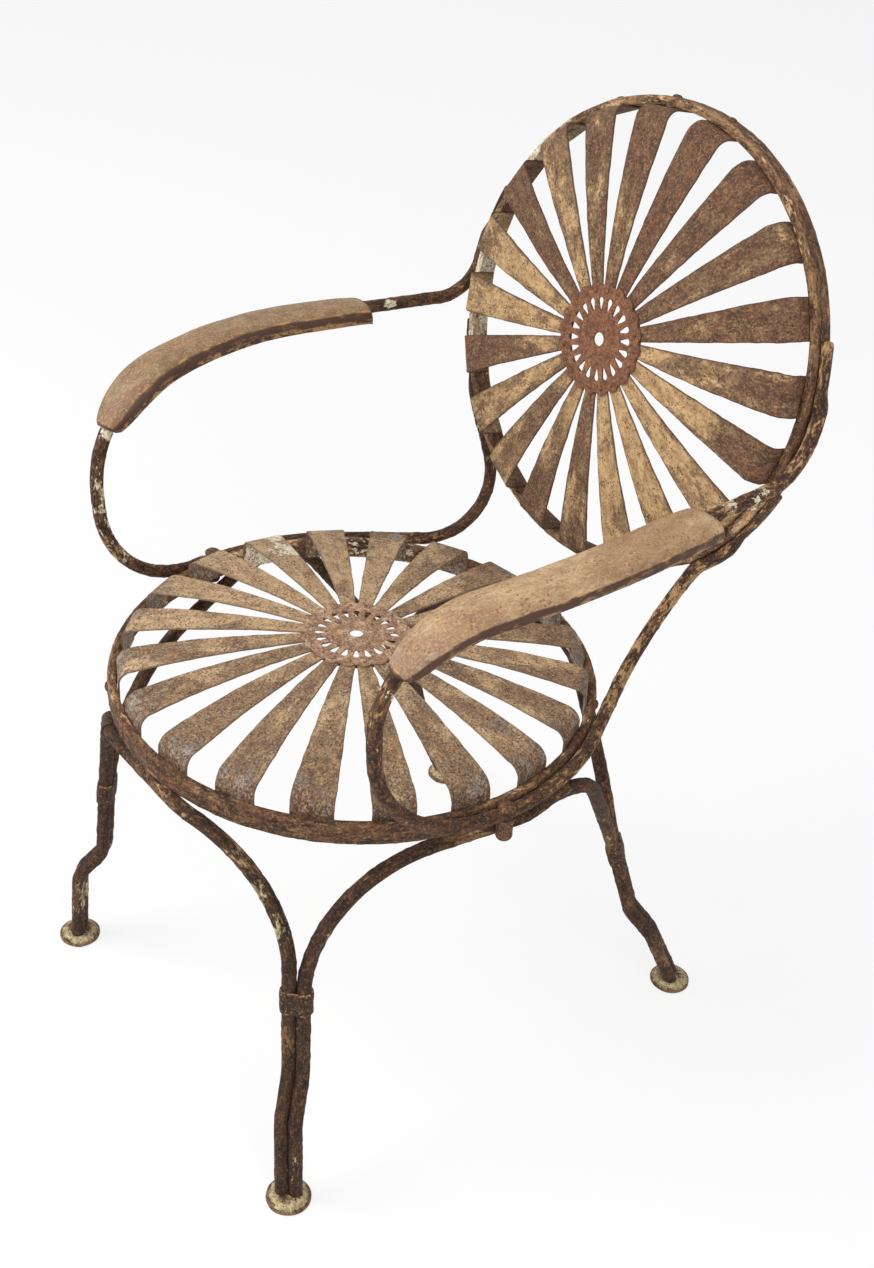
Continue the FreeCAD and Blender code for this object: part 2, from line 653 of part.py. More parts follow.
def chair():
    """Every piece of the chair by name, about the seat's axis."""
    nodes = spring_panel("seat", SEAT_RING_DIAMETER, SEAT_DOME_RISE, SEAT_PLACE)
    nodes.update(spring_panel("back", BACK_RING_DIAMETER, BACK_DOME_RISE, BACK_FAN_PLACE))
    nodes["seat_rim_rivets"] = rim_rivets(
        SEAT_RING_DIAMETER, SEAT_PLACE,
        [(ARM_SEAT_FRONT_ANGLE - RIVET_MARGIN, ARM_SEAT_REAR_ANGLE + RIVET_MARGIN)])
    nodes["back_rim_rivets"] = rim_rivets(
        BACK_RING_DIAMETER, BACK_FAN_PLACE,
        [(0, ARM_TOP_ANGLE + RIVET_MARGIN),
         (ARM_LOW_ANGLE - RIVET_MARGIN, ARM_END_ANGLE + RIVET_MARGIN)])
    left_bolt, shank = bolt()
    arm, pad = arm_bar().cut(shank), arm_pad()
    nodes["arm_bar_left"], nodes["arm_bar_right"] = arm, mirrored(arm)
    nodes["arm_pad_left"], nodes["arm_pad_right"] = pad, mirrored(pad)
    nodes["leg_arch_left"] = side_arch(AS_DRAWN)
    nodes["leg_arch_right"] = mirrored(side_arch(RIGHT_REAR_LEG_SHIFT))
    nodes["leg_arch_front"], nodes["leg_arch_rear"] = front_arch(), rear_arch()
    nodes["leg_collars"] = collars()
    nodes["feet"] = feet()
    nodes["arm_bolts"] = Part.makeCompound([left_bolt, mirrored(left_bolt)])
    return nodes


def centred(nodes):
    """The nodes moved along Y so that the origin is under the middle of the whole chair."""
    box = FreeCAD.BoundBox()
    for shape in nodes.values():
        box.add(shape.optimalBoundingBox(False))
    print("moved along Y by %.3f mm" % -box.Center.y)
    print("size %.1f x %.1f x %.1f mm" % (box.XLength, box.YLength, box.ZLength))
    return {name: shape.translated(Y_AXIS * -box.Center.y) for name, shape in nodes.items()}


def main():
    """Build the chair and write one STEP file for each node."""
    os.makedirs("parts", exist_ok=True)
    for name, shape in centred(chair()).items():
        shape.exportStep(os.path.join("parts", name + ".step"))


if __name__ == "__main__":
    main()
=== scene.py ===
"""Looks of a sprung garden armchair: bent round bar, two rings of flat bar and forty spring strips.

Sizes are real ones in millimetres, in the chair's own frame: the seat's axis is the Z axis, the
floor is Z = 0, the sitter faces -Y and +X is the sitter's left. Meshes come out in metres, set
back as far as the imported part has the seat's axis from the origin.
"""

from __future__ import annotations

import logging
import math
import random
from dataclasses import dataclass, field, replace
from enum import Enum
from typing import Callable, NamedTuple, Sequence, Union

import bpy
from mathutils import Matrix, Vector, noise

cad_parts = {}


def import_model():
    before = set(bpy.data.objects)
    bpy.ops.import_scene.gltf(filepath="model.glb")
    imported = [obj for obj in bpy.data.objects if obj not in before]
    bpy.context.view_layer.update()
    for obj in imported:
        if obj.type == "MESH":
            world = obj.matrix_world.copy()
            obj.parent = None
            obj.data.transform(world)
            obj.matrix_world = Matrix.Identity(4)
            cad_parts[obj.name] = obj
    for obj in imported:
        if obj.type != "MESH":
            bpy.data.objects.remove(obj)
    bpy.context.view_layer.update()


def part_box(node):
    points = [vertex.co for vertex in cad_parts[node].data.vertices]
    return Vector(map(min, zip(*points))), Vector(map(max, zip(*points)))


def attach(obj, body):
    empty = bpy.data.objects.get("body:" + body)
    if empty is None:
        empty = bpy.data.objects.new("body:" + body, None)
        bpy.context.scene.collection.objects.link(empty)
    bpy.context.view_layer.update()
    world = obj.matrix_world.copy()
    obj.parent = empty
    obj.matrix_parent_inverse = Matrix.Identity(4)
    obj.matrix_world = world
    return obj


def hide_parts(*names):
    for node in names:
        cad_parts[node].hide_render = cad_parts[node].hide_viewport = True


LOG = logging.getLogger("armchair")
MM = 0.001
SURFACE = "surface"
WEAR = "wear"
FLAKES = "flakes"
Socket = bpy.types.NodeSocket
Colour = tuple[float, float, float, float]
Corner = tuple[Vector, float]
Half = tuple[Vector, list[Corner]]
Place = tuple[float, float, float]
Spot = tuple[Place, float, float]
Waves = tuple[tuple[float, float, float], ...]
Sheets = tuple[list[Vector], list[Vector]]


def shade(red: int, green: int, blue: int) -> Colour:
    """A colour written in the usual 0 to 255 steps, as light.

    Args:
        red: its red step.
        green: its green step.
        blue: its blue step.

    Returns:
        The colour.
    """
    shares = (step / 255 for step in (red, green, blue))
    lights = [x / 12.92 if x <= 0.04045 else ((x + 0.055) / 1.055) ** 2.4 for x in shares]
    return lights[0], lights[1], lights[2], 1.0


def ease(low: float, high: float, value: float) -> float:
    """Smooth step from 0 at low to 1 at high."""
    share = min(max((value - low) / (high - low), 0.0), 1.0)
    return share * share * (3 - 2 * share)


class Side(Enum):
    """A side of the chair, as the sitter has it."""

    LEFT = 1
    RIGHT = -1

    def across(self, point: Vector) -> Vector:
        """A point of the left side as this side has it."""
        return Vector((point.x * self.value, point.y, point.z))

    @property
    def label(self) -> str:
        """The side's word in the names of pieces."""
        return self.name.lower()


class End(Enum):
    """An end of the chair."""

    FRONT = -1
    REAR = 1


# Shader graphs


class Field:
    """A number that varies over a surface. Sums and products of fields add Math nodes."""

    def __init__(self, graph: Graph, socket: Socket) -> None:
        """Wraps one output socket of a graph."""
        self.graph = graph
        self.socket = socket

    def __add__(self, other: Number) -> Field:
        """Sum of the two."""
        return self.graph.math("ADD", self, other)

    __radd__ = __add__

    def __sub__(self, other: Number) -> Field:
        """This less the other."""
        return self.graph.math("SUBTRACT", self, other)

    def __rsub__(self, other: Number) -> Field:
        """The other less this."""
        return self.graph.math("SUBTRACT", other, self)

    def __mul__(self, other: Number) -> Field:
        """Product of the two."""
        return self.graph.math("MULTIPLY", self, other)

    __rmul__ = __mul__

    def above(self, low: Number, high: Number) -> Field:
        """Smooth step of this number.

        Args:
            low: where it is 0.
            high: where it is 1.

        Returns:
            The step.
        """
        settings = {"interpolation_type": "SMOOTHSTEP"}
        sockets = {"Value": self, "From Min": low, "From Max": high}
        return Field(self.graph, self.graph.node("ShaderNodeMapRange", settings, sockets).outputs[0])


Number = Union[float, Field]


class Graph:
    """The node tree of one material, or of the world."""

    def __init__(self, owner: bpy.types.Material | bpy.types.World) -> None:
        """Empties the owner's tree.

        Args:
            owner: the material or world that the tree belongs to.
        """
        self.owner = owner
        owner.use_nodes = True
        self.tree = owner.node_tree
        self.tree.nodes.clear()

    def node(self, kind: str, settings: dict | None = None, sockets: dict | None = None) -> bpy.types.Node:
        """Adds a node.

        Args:
            kind: the node's type.
            settings: its own settings, which are set first.
            sockets: values, fields or sockets for its inputs, by name or number.

        Returns:
            The node.
        """
        made = self.tree.nodes.new(kind)
        for name, value in (settings or {}).items():
            setattr(made, name, value)
        for name, value in (sockets or {}).items():
            source = value.socket if isinstance(value, Field) else value
            if isinstance(source, Socket):
                self.tree.links.new(source, made.inputs[name])
            else:
                made.inputs[name].default_value = source
        return made

    def math(self, operation: str, first: Number, second: Number) -> Field:
        """A Math node on two numbers."""
        made = self.node("ShaderNodeMath", {"operation": operation}, {0: first, 1: second})
        return Field(self, made.outputs[0])

    def attribute(self, name: str) -> bpy.types.Node:
        """The node that reads a value kept at the points of a mesh."""
        return self.node("ShaderNodeAttribute", {"attribute_name": name})

    def split(self, vector: Socket) -> tuple[Field, Field, Field]:
        """The three numbers of a vector."""
        made = self.node("ShaderNodeSeparateXYZ", None, {"Vector": vector})
        return Field(self, made.outputs[0]), Field(self, made.outputs[1]), Field(self, made.outputs[2])

    def stretched(self, vector: Socket, by: Sequence[float]) -> Socket:
        """The vector with each number multiplied."""
        made = self.node("ShaderNodeVectorMath", {"operation": "MULTIPLY"}, {0: vector, 1: tuple(by)})
        return made.outputs[0]

    def noise(self, at: Socket, size: float, detail: float = 4.0, rough: float = 0.55,
              bend: float = 0.0) -> Field:
        """Cloudy noise from 0 to 1.

        Args:
            at: where on the surface, in metres.
            size: size of the largest clouds in millimetres.
            detail: how many finer steps it has.
            rough: how strong the finer steps are.
            bend: how much the clouds are drawn out of shape.

        Returns:
            The noise.
        """
        sockets = {"Vector": at, "Scale": 1 / (size * MM), "Detail": detail, "Roughness": rough,
                   "Distortion": bend}
        return Field(self, self.node("ShaderNodeTexNoise", None, sockets).outputs[0])

    def cells(self, at: Socket, size: float) -> Field:
        """Distance to the middle of the nearest of many scattered cells, 0 in its middle."""
        sockets = {"Vector": at, "Scale": 1 / (size * MM)}
        return Field(self, self.node("ShaderNodeTexVoronoi", None, sockets).outputs["Distance"])

    def blend(self, share: Number, below: Colour | Socket, above: Colour | Socket) -> Socket:
        """One colour over another, share of it from 0 to 1."""
        settings = {"data_type": "RGBA"}
        return self.node("ShaderNodeMix", settings, {0: share, 6: below, 7: above}).outputs[2]

    def seen(self) -> Field:
        """Tells what the camera sees from what only lights the scene.

        Returns:
            1 where the camera looks, straight, in something glossy or through glass, and 0 elsewhere.
        """
        path = self.node("ShaderNodeLightPath")
        seen = Field(self, path.outputs["Is Camera Ray"])
        for ray in ("Is Glossy Ray", "Is Transmission Ray"):
            seen = self.math("MAXIMUM", seen, Field(self, path.outputs[ray]))
        return seen

    def close(self, shader: Socket) -> bpy.types.Material | bpy.types.World:
        """Ends the graph with its output.

        Args:
            shader: what the output shows.

        Returns:
            The material or world that the graph belongs to.
        """
        word = "World" if isinstance(self.owner, bpy.types.World) else "Material"
        self.node("ShaderNodeOutput" + word, None, {"Surface": shader})
        return self.owner


# Finishes


@dataclass(frozen=True)
class Coat:
    """What is left of a coat of paint or of a crust: patches that lie on what is below.

    Every length is in millimetres. cover is the share of the surface that the patches take, and the
    gains say how much it grows with the tone of the piece, near its rim, at its edges and at flakes.
    """

    dark: Colour
    light: Colour
    cover: float
    patch: float
    thick: float
    rough: float
    crumb: float = 2.2
    ragged: float = 0.35
    blur: float = 0.05
    tone_gain: float = 0.0
    rim_gain: float = 0.0
    edge_gain: float = 0.0
    flake_gain: float = 0.0
    drawn_out: float = 1.0
    mottle: float = 5.0


@dataclass(frozen=True)
class WornIron:
    """Rusty iron under what is left of its coats of paint, drawn out along the piece.

    What a mesh point tells of its wear stands in Wear.
    """

    name: str
    deep: Colour
    middle: Colour
    warm: Colour
    coats: tuple[Coat, ...]
    speck: Colour = shade(50, 34, 27)
    speck_cover: float = 0.2
    speck_size: float = 2.4
    crumb: Colour = shade(176, 132, 92)
    crumb_share: float = 0.5
    grit: float = 2.0
    grit_dark: float = 0.5
    grain: float = 9.0
    drawn_out: float = 3.0
    pitting: float = 0.12
    bare_rough: float = 0.84
    edge_dark: float = 0.0
    turned_edge: Colour | None = None
    bend_rust: Colour = shade(206, 146, 92)
    lip_rust: Colour = shade(190, 150, 100)

    def material(self) -> bpy.types.Material:
        """Builds the finish.

        Returns:
            The material, with colour, roughness and relief that vary over the surface.
        """
        graph = Graph(bpy.data.materials.new(self.name))
        at = graph.attribute(SURFACE).outputs["Vector"]
        drawn = graph.stretched(at, (1 / self.drawn_out, 1.0, 1.0))
        edge, rim, tone = graph.split(graph.attribute(WEAR).outputs["Vector"])
        causes = (tone, rim, edge, Field(graph, graph.attribute(FLAKES).outputs["Fac"]))
        clouds = graph.noise(drawn, self.grain, 6.0, 0.66)
        grit = graph.noise(graph.stretched(at, (0.8, 1.0, 1.0)), self.grit, 3.0, 0.7)
        colour = graph.blend(clouds.above(0.4, 0.6), self.deep, self.middle)
        colour = graph.blend(graph.noise(drawn, self.grain * 0.6, 5.0, 0.68, 0.5).above(0.52, 0.66) * 0.6,
                             colour, self.warm)
        height = clouds * self.pitting * 1.5 + grit * self.pitting
        rough: Number = self.bare_rough
        for coat in self.coats:
            mask = self._left(graph, at, coat, causes)
            streaks = graph.stretched(at, (1 / coat.drawn_out, 1.0, 1.0))
            mottle = graph.noise(streaks, coat.mottle, 5.0, 0.68).above(0.34, 0.66)
            colour = graph.blend(mask, colour, graph.blend(mottle, coat.dark, coat.light))
            colour = graph.blend(mask * (1.0 - mask) * 1.4, colour, self.speck)
            height = height + mask * coat.thick
            rough = mask * (coat.rough - self.bare_rough) + rough
        colour = graph.blend(grit.above(0.52, 0.66) * self.crumb_share, colour, self.crumb)
        colour = graph.blend((1.0 - grit.above(0.36, 0.49)) * self.grit_dark, colour, self.speck)
        specks = self._specks(graph, at, rim)
        colour = graph.blend(specks * 0.85, colour, self.speck)
        if self.turned_edge:
            colour = self._turned(graph, drawn, edge, colour)
        if self.edge_dark:
            colour = graph.blend(edge.above(0.72, 1.0) * self.edge_dark, colour, self.deep)
        height = height - specks * 0.06
        bump = graph.node("ShaderNodeBump", None, {"Height": height * MM, "Distance": 1.0, "Strength": 1.0})
        sockets = {"Base Color": colour, "Roughness": rough, "Normal": bump.outputs[0],
                   "Specular IOR Level": 0.35}
        return graph.close(graph.node("ShaderNodeBsdfPrincipled", None, sockets).outputs[0])

    def _left(self, graph: Graph, at: Socket, coat: Coat, causes: Sequence[Field]) -> Field:
        """Where a coat is left.

        Args:
            graph: the finish's graph.
            at: where on the surface.
            coat: the coat.
            causes: what its gains go with: tone, rim, edge and flakes.

        Returns:
            From 0, gone, to 1, left.
        """
        drawn = graph.stretched(at, (1 / coat.drawn_out, 1.0, 1.0))
        cloud = graph.noise(drawn, coat.patch, 4.0, 0.55, 0.3)
        crumb = graph.noise(drawn, coat.crumb, 4.0, 0.65)
        pattern = cloud * (1 - coat.ragged) + crumb * coat.ragged
        cover: Number = coat.cover
        for gain, cause in zip((coat.tone_gain, coat.rim_gain, coat.edge_gain, coat.flake_gain), causes):
            if gain:
                cover = cause * gain + cover
        level = 0.69 - cover * 0.38
        return pattern.above(level - coat.blur, level + coat.blur)

    def _specks(self, graph: Graph, at: Socket, rim: Field) -> Field:
        """Dark pits of rust, thicker near the rim.

        Args:
            graph: the finish's graph.
            at: where on the surface.
            rim: how near the rim it is.

        Returns:
            From 0, none, to 1 in a pit.
        """
        spots = 1.0 - graph.cells(at, self.speck_size).above(0.24, 0.42)
        where = graph.noise(at, self.speck_size * 4, 3.0, 0.6)
        level = 0.5 + (0.5 - self.speck_cover) * 0.4 - rim * 0.05
        return spots * where.above(level - 0.04, level + 0.04)

    def _turned(self, graph: Graph, at: Socket, edge: Field, colour: Socket) -> Socket:
        """A dark edge that is turned down, with bare rust along its bend.

        Args:
            graph: the finish's graph.
            at: where on the surface.
            edge: how near the edge it is.
            colour: the colour above the edge.

        Returns:
            The colour with its edge.
        """
        reach = edge + (graph.noise(at, 9.0, 4.0, 0.65) * 0.5 - 0.25)
        broken = graph.noise(at, 5.0, 4.0, 0.7)
        dark = reach.above(0.16, 0.46) * (1.0 - broken.above(0.52, 0.64) * 0.4)
        colour = graph.blend(dark, colour, self.turned_edge)
        bend = reach.above(0.12, 0.22) * (1.0 - reach.above(0.26, 0.4))
        colour = graph.blend(bend * broken.above(0.5, 0.58) * 0.7, colour, self.bend_rust)
        return graph.blend(edge.above(0.9, 1.0) * broken.above(0.46, 0.56) * 0.6, colour, self.lip_rust)


PALE_FLAKES = Coat(
    shade(190, 172, 136), shade(240, 232, 208), -0.12, 7.0, 0.25, 0.7, crumb=2.8, ragged=0.5, blur=0.015,
    tone_gain=0.3, flake_gain=0.85, drawn_out=1.8, mottle=3.0)
BAR_FINISH = WornIron(
    "worn_round_bar", shade(42, 28, 21), shade(82, 56, 40), shade(128, 87, 56),
    (Coat(shade(134, 98, 64), shade(190, 152, 106), 0.04, 7.0, 0.1, 0.76, crumb=2.4, ragged=0.5, blur=0.025,
          tone_gain=0.6, edge_gain=0.12, flake_gain=0.3, drawn_out=2.6, mottle=3.0),
     PALE_FLAKES),
    speck=shade(32, 21, 15), speck_cover=0.4, crumb=shade(172, 122, 78), crumb_share=0.36, grit=2.2,
    grain=7.0, drawn_out=2.6, pitting=0.22)
LEG_FINISH = WornIron(
    "worn_leg_bar", shade(30, 20, 14), shade(64, 42, 29), shade(112, 72, 44),
    (Coat(shade(98, 68, 45), shade(136, 100, 66), 0.1, 12.0, 0.08, 0.8, ragged=0.45, tone_gain=0.6,
          drawn_out=3.0, mottle=3.0),
     Coat(shade(140, 107, 72), shade(190, 154, 110), -0.1, 10.0, 0.12, 0.76, crumb=2.4, ragged=0.45,
          blur=0.025, tone_gain=0.7, flake_gain=0.3, drawn_out=2.4, mottle=3.0),
     Coat(shade(140, 124, 84), shade(208, 196, 152), -0.12, 9.0, 0.22, 0.7, crumb=2.8, ragged=0.45,
          blur=0.03, tone_gain=0.25, flake_gain=0.9, drawn_out=2.6, mottle=3.0)),
    speck=shade(26, 17, 12), speck_cover=0.4, crumb=shade(166, 114, 70), crumb_share=0.3, grit=2.2,
    grain=8.0, drawn_out=2.4, pitting=0.24)
RING_FINISH = WornIron(
    "worn_ring_bar", shade(52, 35, 26), shade(94, 65, 46), shade(142, 100, 66),
    (Coat(shade(122, 91, 62), shade(160, 124, 88), 0.2, 9.0, 0.06, 0.78, ragged=0.42, blur=0.06,
          tone_gain=0.4, edge_gain=0.06, drawn_out=3.4, mottle=3.0),
     Coat(shade(164, 124, 90), shade(212, 174, 132), -0.06, 9.0, 0.12, 0.76, crumb=2.4, ragged=0.42,
          blur=0.03, tone_gain=0.4, edge_gain=0.14, flake_gain=0.5, drawn_out=2.6, mottle=3.0),
     replace(PALE_FLAKES, cover=-0.14, tone_gain=0.2)),
    speck=shade(38, 25, 18), speck_cover=0.4, crumb=shade(184, 132, 86), crumb_share=0.4, grain=6.0,
    drawn_out=3.4, pitting=0.22)
SEAT_STRIP_FINISH = WornIron(
    "worn_seat_strip", shade(112, 88, 68), shade(146, 118, 90), shade(172, 127, 82),
    (Coat(shade(164, 134, 100), shade(200, 168, 129), 0.12, 26.0, 0.05, 0.68, crumb=2.4, ragged=0.26,
          blur=0.08, tone_gain=0.85, drawn_out=1.6, mottle=8.0),
     Coat(shade(118, 104, 90), shade(150, 138, 123), 0.22, 20.0, 0.03, 0.6, ragged=0.34, blur=0.07,
          tone_gain=-0.1, rim_gain=0.4, drawn_out=1.4, mottle=4.0),
     Coat(shade(78, 55, 42), shade(116, 83, 60), -0.06, 5.0, 0.08, 0.84, ragged=0.5, blur=0.035,
          rim_gain=0.54, edge_gain=0.14, drawn_out=1.2, mottle=2.6),
     Coat(shade(206, 186, 150), shade(244, 236, 214), -0.56, 14.0, 0.15, 0.68, blur=0.015, flake_gain=1.4,
          drawn_out=2.0, mottle=4.0)),
    speck=shade(66, 45, 34), speck_cover=0.56, crumb=shade(214, 184, 148), crumb_share=0.4, grit=1.8,
    grit_dark=0.55, drawn_out=1.4, pitting=0.1, edge_dark=0.7)
BACK_STRIP_FINISH = WornIron(
    "worn_back_strip", shade(78, 54, 41), shade(108, 76, 55), shade(134, 93, 63),
    (Coat(shade(114, 88, 64), shade(144, 115, 86), 0.12, 14.0, 0.03, 0.78, ragged=0.36, blur=0.09,
          tone_gain=0.75, drawn_out=1.7, mottle=6.0),
     Coat(shade(150, 118, 80), shade(196, 162, 117), -0.08, 20.0, 0.07, 0.72, crumb=2.4, ragged=0.34,
          blur=0.075, tone_gain=1.14, edge_gain=-0.16, drawn_out=1.9, mottle=8.0),
     Coat(shade(60, 40, 30), shade(90, 61, 45), 0.02, 8.0, 0.06, 0.84, crumb=2.4, ragged=0.5, blur=0.035,
          tone_gain=0.1, rim_gain=0.12, edge_gain=0.12, drawn_out=1.5, mottle=3.0),
     Coat(shade(206, 178, 130), shade(240, 222, 180), -0.58, 9.0, 0.1, 0.7, crumb=2.0, ragged=0.4,
          blur=0.02, flake_gain=1.1, drawn_out=0.45, mottle=3.0)),
    speck=shade(52, 35, 26), speck_cover=0.42, speck_size=2.3, crumb=shade(192, 148, 100), crumb_share=0.36,
    grit=1.9, grit_dark=0.45, grain=6.0, drawn_out=1.7, pitting=0.12, edge_dark=0.8)
SEAT_ROSETTE_FINISH = WornIron(
    "worn_seat_rosette", shade(128, 96, 75), shade(166, 130, 102), shade(184, 140, 104),
    (Coat(shade(170, 137, 109), shade(206, 174, 144), 0.5, 10.0, 0.03, 0.72, blur=0.07, mottle=4.0),
     Coat(shade(92, 63, 48), shade(128, 91, 68), 0.12, 4.0, 0.05, 0.85, crumb=1.6, ragged=0.5, blur=0.03,
          mottle=2.0)),
    speck=shade(84, 57, 44), speck_cover=0.5, speck_size=2.2, crumb=shade(224, 186, 150), crumb_share=0.4,
    drawn_out=1.0, pitting=0.1, edge_dark=0.3)
BACK_ROSETTE_FINISH = WornIron(
    "worn_back_rosette", shade(98, 64, 46), shade(134, 90, 63), shade(156, 102, 66),
    (Coat(shade(124, 81, 57), shade(160, 110, 78), 0.42, 11.0, 0.03, 0.78, blur=0.07, mottle=3.0),
     Coat(shade(186, 114, 60), shade(212, 136, 76), -0.1, 12.0, 0.02, 0.8, mottle=3.0)),
    speck=shade(60, 39, 29), speck_cover=0.4, speck_size=2.0, crumb=shade(186, 132, 92), crumb_share=0.3,
    drawn_out=1.0, pitting=0.1, edge_dark=0.4)
PAD_FINISH = WornIron(
    "worn_arm_pad", shade(134, 106, 82), shade(168, 139, 106), shade(190, 150, 106),
    (Coat(shade(170, 142, 108), shade(204, 174, 134), 0.6, 44.0, 0.02, 0.58, crumb=3.0, ragged=0.24,
          blur=0.12, drawn_out=2.0, mottle=10.0),
     Coat(shade(118, 95, 69), shade(150, 126, 94), -0.2, 40.0, 0.02, 0.62, crumb=3.0, ragged=0.24,
          blur=0.14, tone_gain=1.05, drawn_out=2.0, mottle=7.0),
     Coat(shade(138, 115, 98), shade(172, 149, 128), 0.1, 24.0, 0.02, 0.66, crumb=2.4, ragged=0.34, blur=0.1,
          tone_gain=-0.5, rim_gain=0.5, drawn_out=1.5),
     Coat(shade(96, 72, 52), shade(128, 101, 74), -0.35, 20.0, 0.02, 0.66, crumb=2.4, ragged=0.4, blur=0.1,
          tone_gain=0.4, rim_gain=0.35, drawn_out=1.5, mottle=4.0),
     Coat(shade(200, 188, 156), shade(242, 236, 220), -0.6, 7.0, 0.2, 0.66, ragged=0.5, blur=0.02,
          flake_gain=1.4, drawn_out=2.4, mottle=3.0)),
    speck=shade(136, 90, 58), speck_cover=0.42, speck_size=3.2, crumb=shade(224, 190, 146), crumb_share=0.36,
    grit=1.8, grit_dark=0.4, grain=14.0, pitting=0.08, bare_rough=0.68, turned_edge=shade(74, 50, 37))
FOOT_FINISH = WornIron(
    "worn_foot", shade(66, 46, 32), shade(108, 80, 54), shade(138, 98, 62),
    (Coat(shade(156, 138, 103), shade(206, 192, 152), 0.86, 12.0, 0.16, 0.72, ragged=0.4, blur=0.03,
          rim_gain=-0.4, edge_gain=-0.7),
     Coat(shade(98, 72, 48), shade(146, 118, 80), 0.2, 8.0, 0.04, 0.8, crumb=2.6, ragged=0.6, blur=0.06,
          rim_gain=0.2, edge_gain=0.5, mottle=3.0),
     Coat(shade(208, 196, 160), shade(240, 232, 206), 0.1, 5.0, 0.1, 0.7, blur=0.02, edge_gain=-0.3,
          mottle=3.0)),
    speck=shade(60, 42, 29), speck_cover=0.36, grain=8.0, drawn_out=1.0, pitting=0.24)
RIVET_FINISH = WornIron(
    "worn_rivet", shade(68, 46, 33), shade(100, 70, 49), shade(130, 90, 59),
    (Coat(shade(122, 89, 62), shade(164, 128, 88), 0.25, 3.0, 0.05, 0.8, crumb=1.4, mottle=2.0),),
    speck_cover=0.3, speck_size=1.8, grit=1.6, grain=4.0, drawn_out=1.0)
COLLAR_FINISH = WornIron(
    "worn_collar", shade(36, 24, 17), shade(58, 39, 27), shade(92, 62, 40),
    (Coat(shade(130, 96, 64), shade(184, 146, 102), 0.04, 6.0, 0.1, 0.8, blur=0.03, edge_gain=0.55,
          mottle=3.0),),
    speck_cover=0.4, grain=5.0, drawn_out=1.0, pitting=0.28)


# Meshes


SEED_SHIFT = Vector((0.37, 0.61, 0.23))
SHARP_FROM = 38.0
END_ROUNDING = 0.5
END_STEPS = (0.02, 0.12, 0.35, 0.65, 1.0)
SPOT_CORE = 0.35
DOME_STEPS = (0.0, 0.28, 0.5, 0.7, 0.88)
DOME_SUNK = 0.6
DOME_UNEVEN = 0.07


class Wear(NamedTuple):
    """What a mesh point tells its finish, each from 0 to 1.

    edge is how near an edge of the piece it is, rim how near the rim, the front or a joint, tone how
    much paint is left there and flake whether pale flakes hang on.
    """

    edge: float = 0.0
    rim: float = 0.0
    tone: float = 0.3
    flake: float = 0.0


@dataclass
class Draft:
    """A mesh being drawn in millimetres, with what the finish has to know of each point."""

    points: list[Vector] = field(default_factory=list)
    faces: list[tuple[int, ...]] = field(default_factory=list)
    surface: list[Vector] = field(default_factory=list)
    wear: list[Wear] = field(default_factory=list)

    def add(self, point: Vector, wear: Wear = Wear(), surface: Vector | None = None) -> int:
        """Adds a point.

        Args:
            point: where it stands.
            wear: how it is worn.
            surface: where the finish has it, if that isn't where it stands.

        Returns:
            The point's number.
        """
        self.points.append(point.copy())
        self.surface.append((surface or point).copy())
        self.wear.append(wear)
        return len(self.points) - 1

    def loft(self, rows: Sequence[Sequence[int]], closed: bool = False) -> None:
        """Faces between rows of points that each run round a section.

        Args:
            rows: the rows of point numbers.
            closed: whether the last row joins the first.
        """
        pairs = list(zip(rows, rows[1:])) + ([(rows[-1], rows[0])] if closed else [])
        for low, high in pairs:
            for k in range(len(low)):
                n = (k + 1) % len(low)
                self.faces.append((low[k], low[n], high[n], high[k]))

    def cap(self, row: Sequence[int], tip: int, outward: bool) -> None:
        """Closes a row with a fan of faces to one point.

        Args:
            row: the row's point numbers.
            tip: the point's number.
            outward: whether the row runs the right way round for it.
        """
        for k in range(len(row)):
            n = (k + 1) % len(row)
            self.faces.append((row[k], row[n], tip) if outward else (row[n], row[k], tip))

    def mesh(self, name: str, seed: float) -> bpy.types.Mesh:
        """The finished mesh in metres.

        Args:
            name: name of the mesh.
            seed: shifts the finish, so that two pieces don't wear alike.

        Returns:
            The mesh.
        """
        made = bpy.data.meshes.new(name)
        made.from_pydata([Workshop.placed(p) for p in self.points], [], self.faces)
        made.update()
        shift = SEED_SHIFT * seed
        places = made.attributes.new(SURFACE, "FLOAT_VECTOR", "POINT")
        places.data.foreach_set("vector", [x for p in self.surface for x in p * MM + shift])
        worn = made.attributes.new(WEAR, "FLOAT_VECTOR", "POINT")
        worn.data.foreach_set("vector", [x for w in self.wear for x in w[:3]])
        flakes = made.attributes.new(FLAKES, "FLOAT", "POINT")
        flakes.data.foreach_set("value", [w.flake for w in self.wear])
        made.shade_smooth()
        made.set_sharp_from_angle(angle=math.radians(SHARP_FROM))
        return made


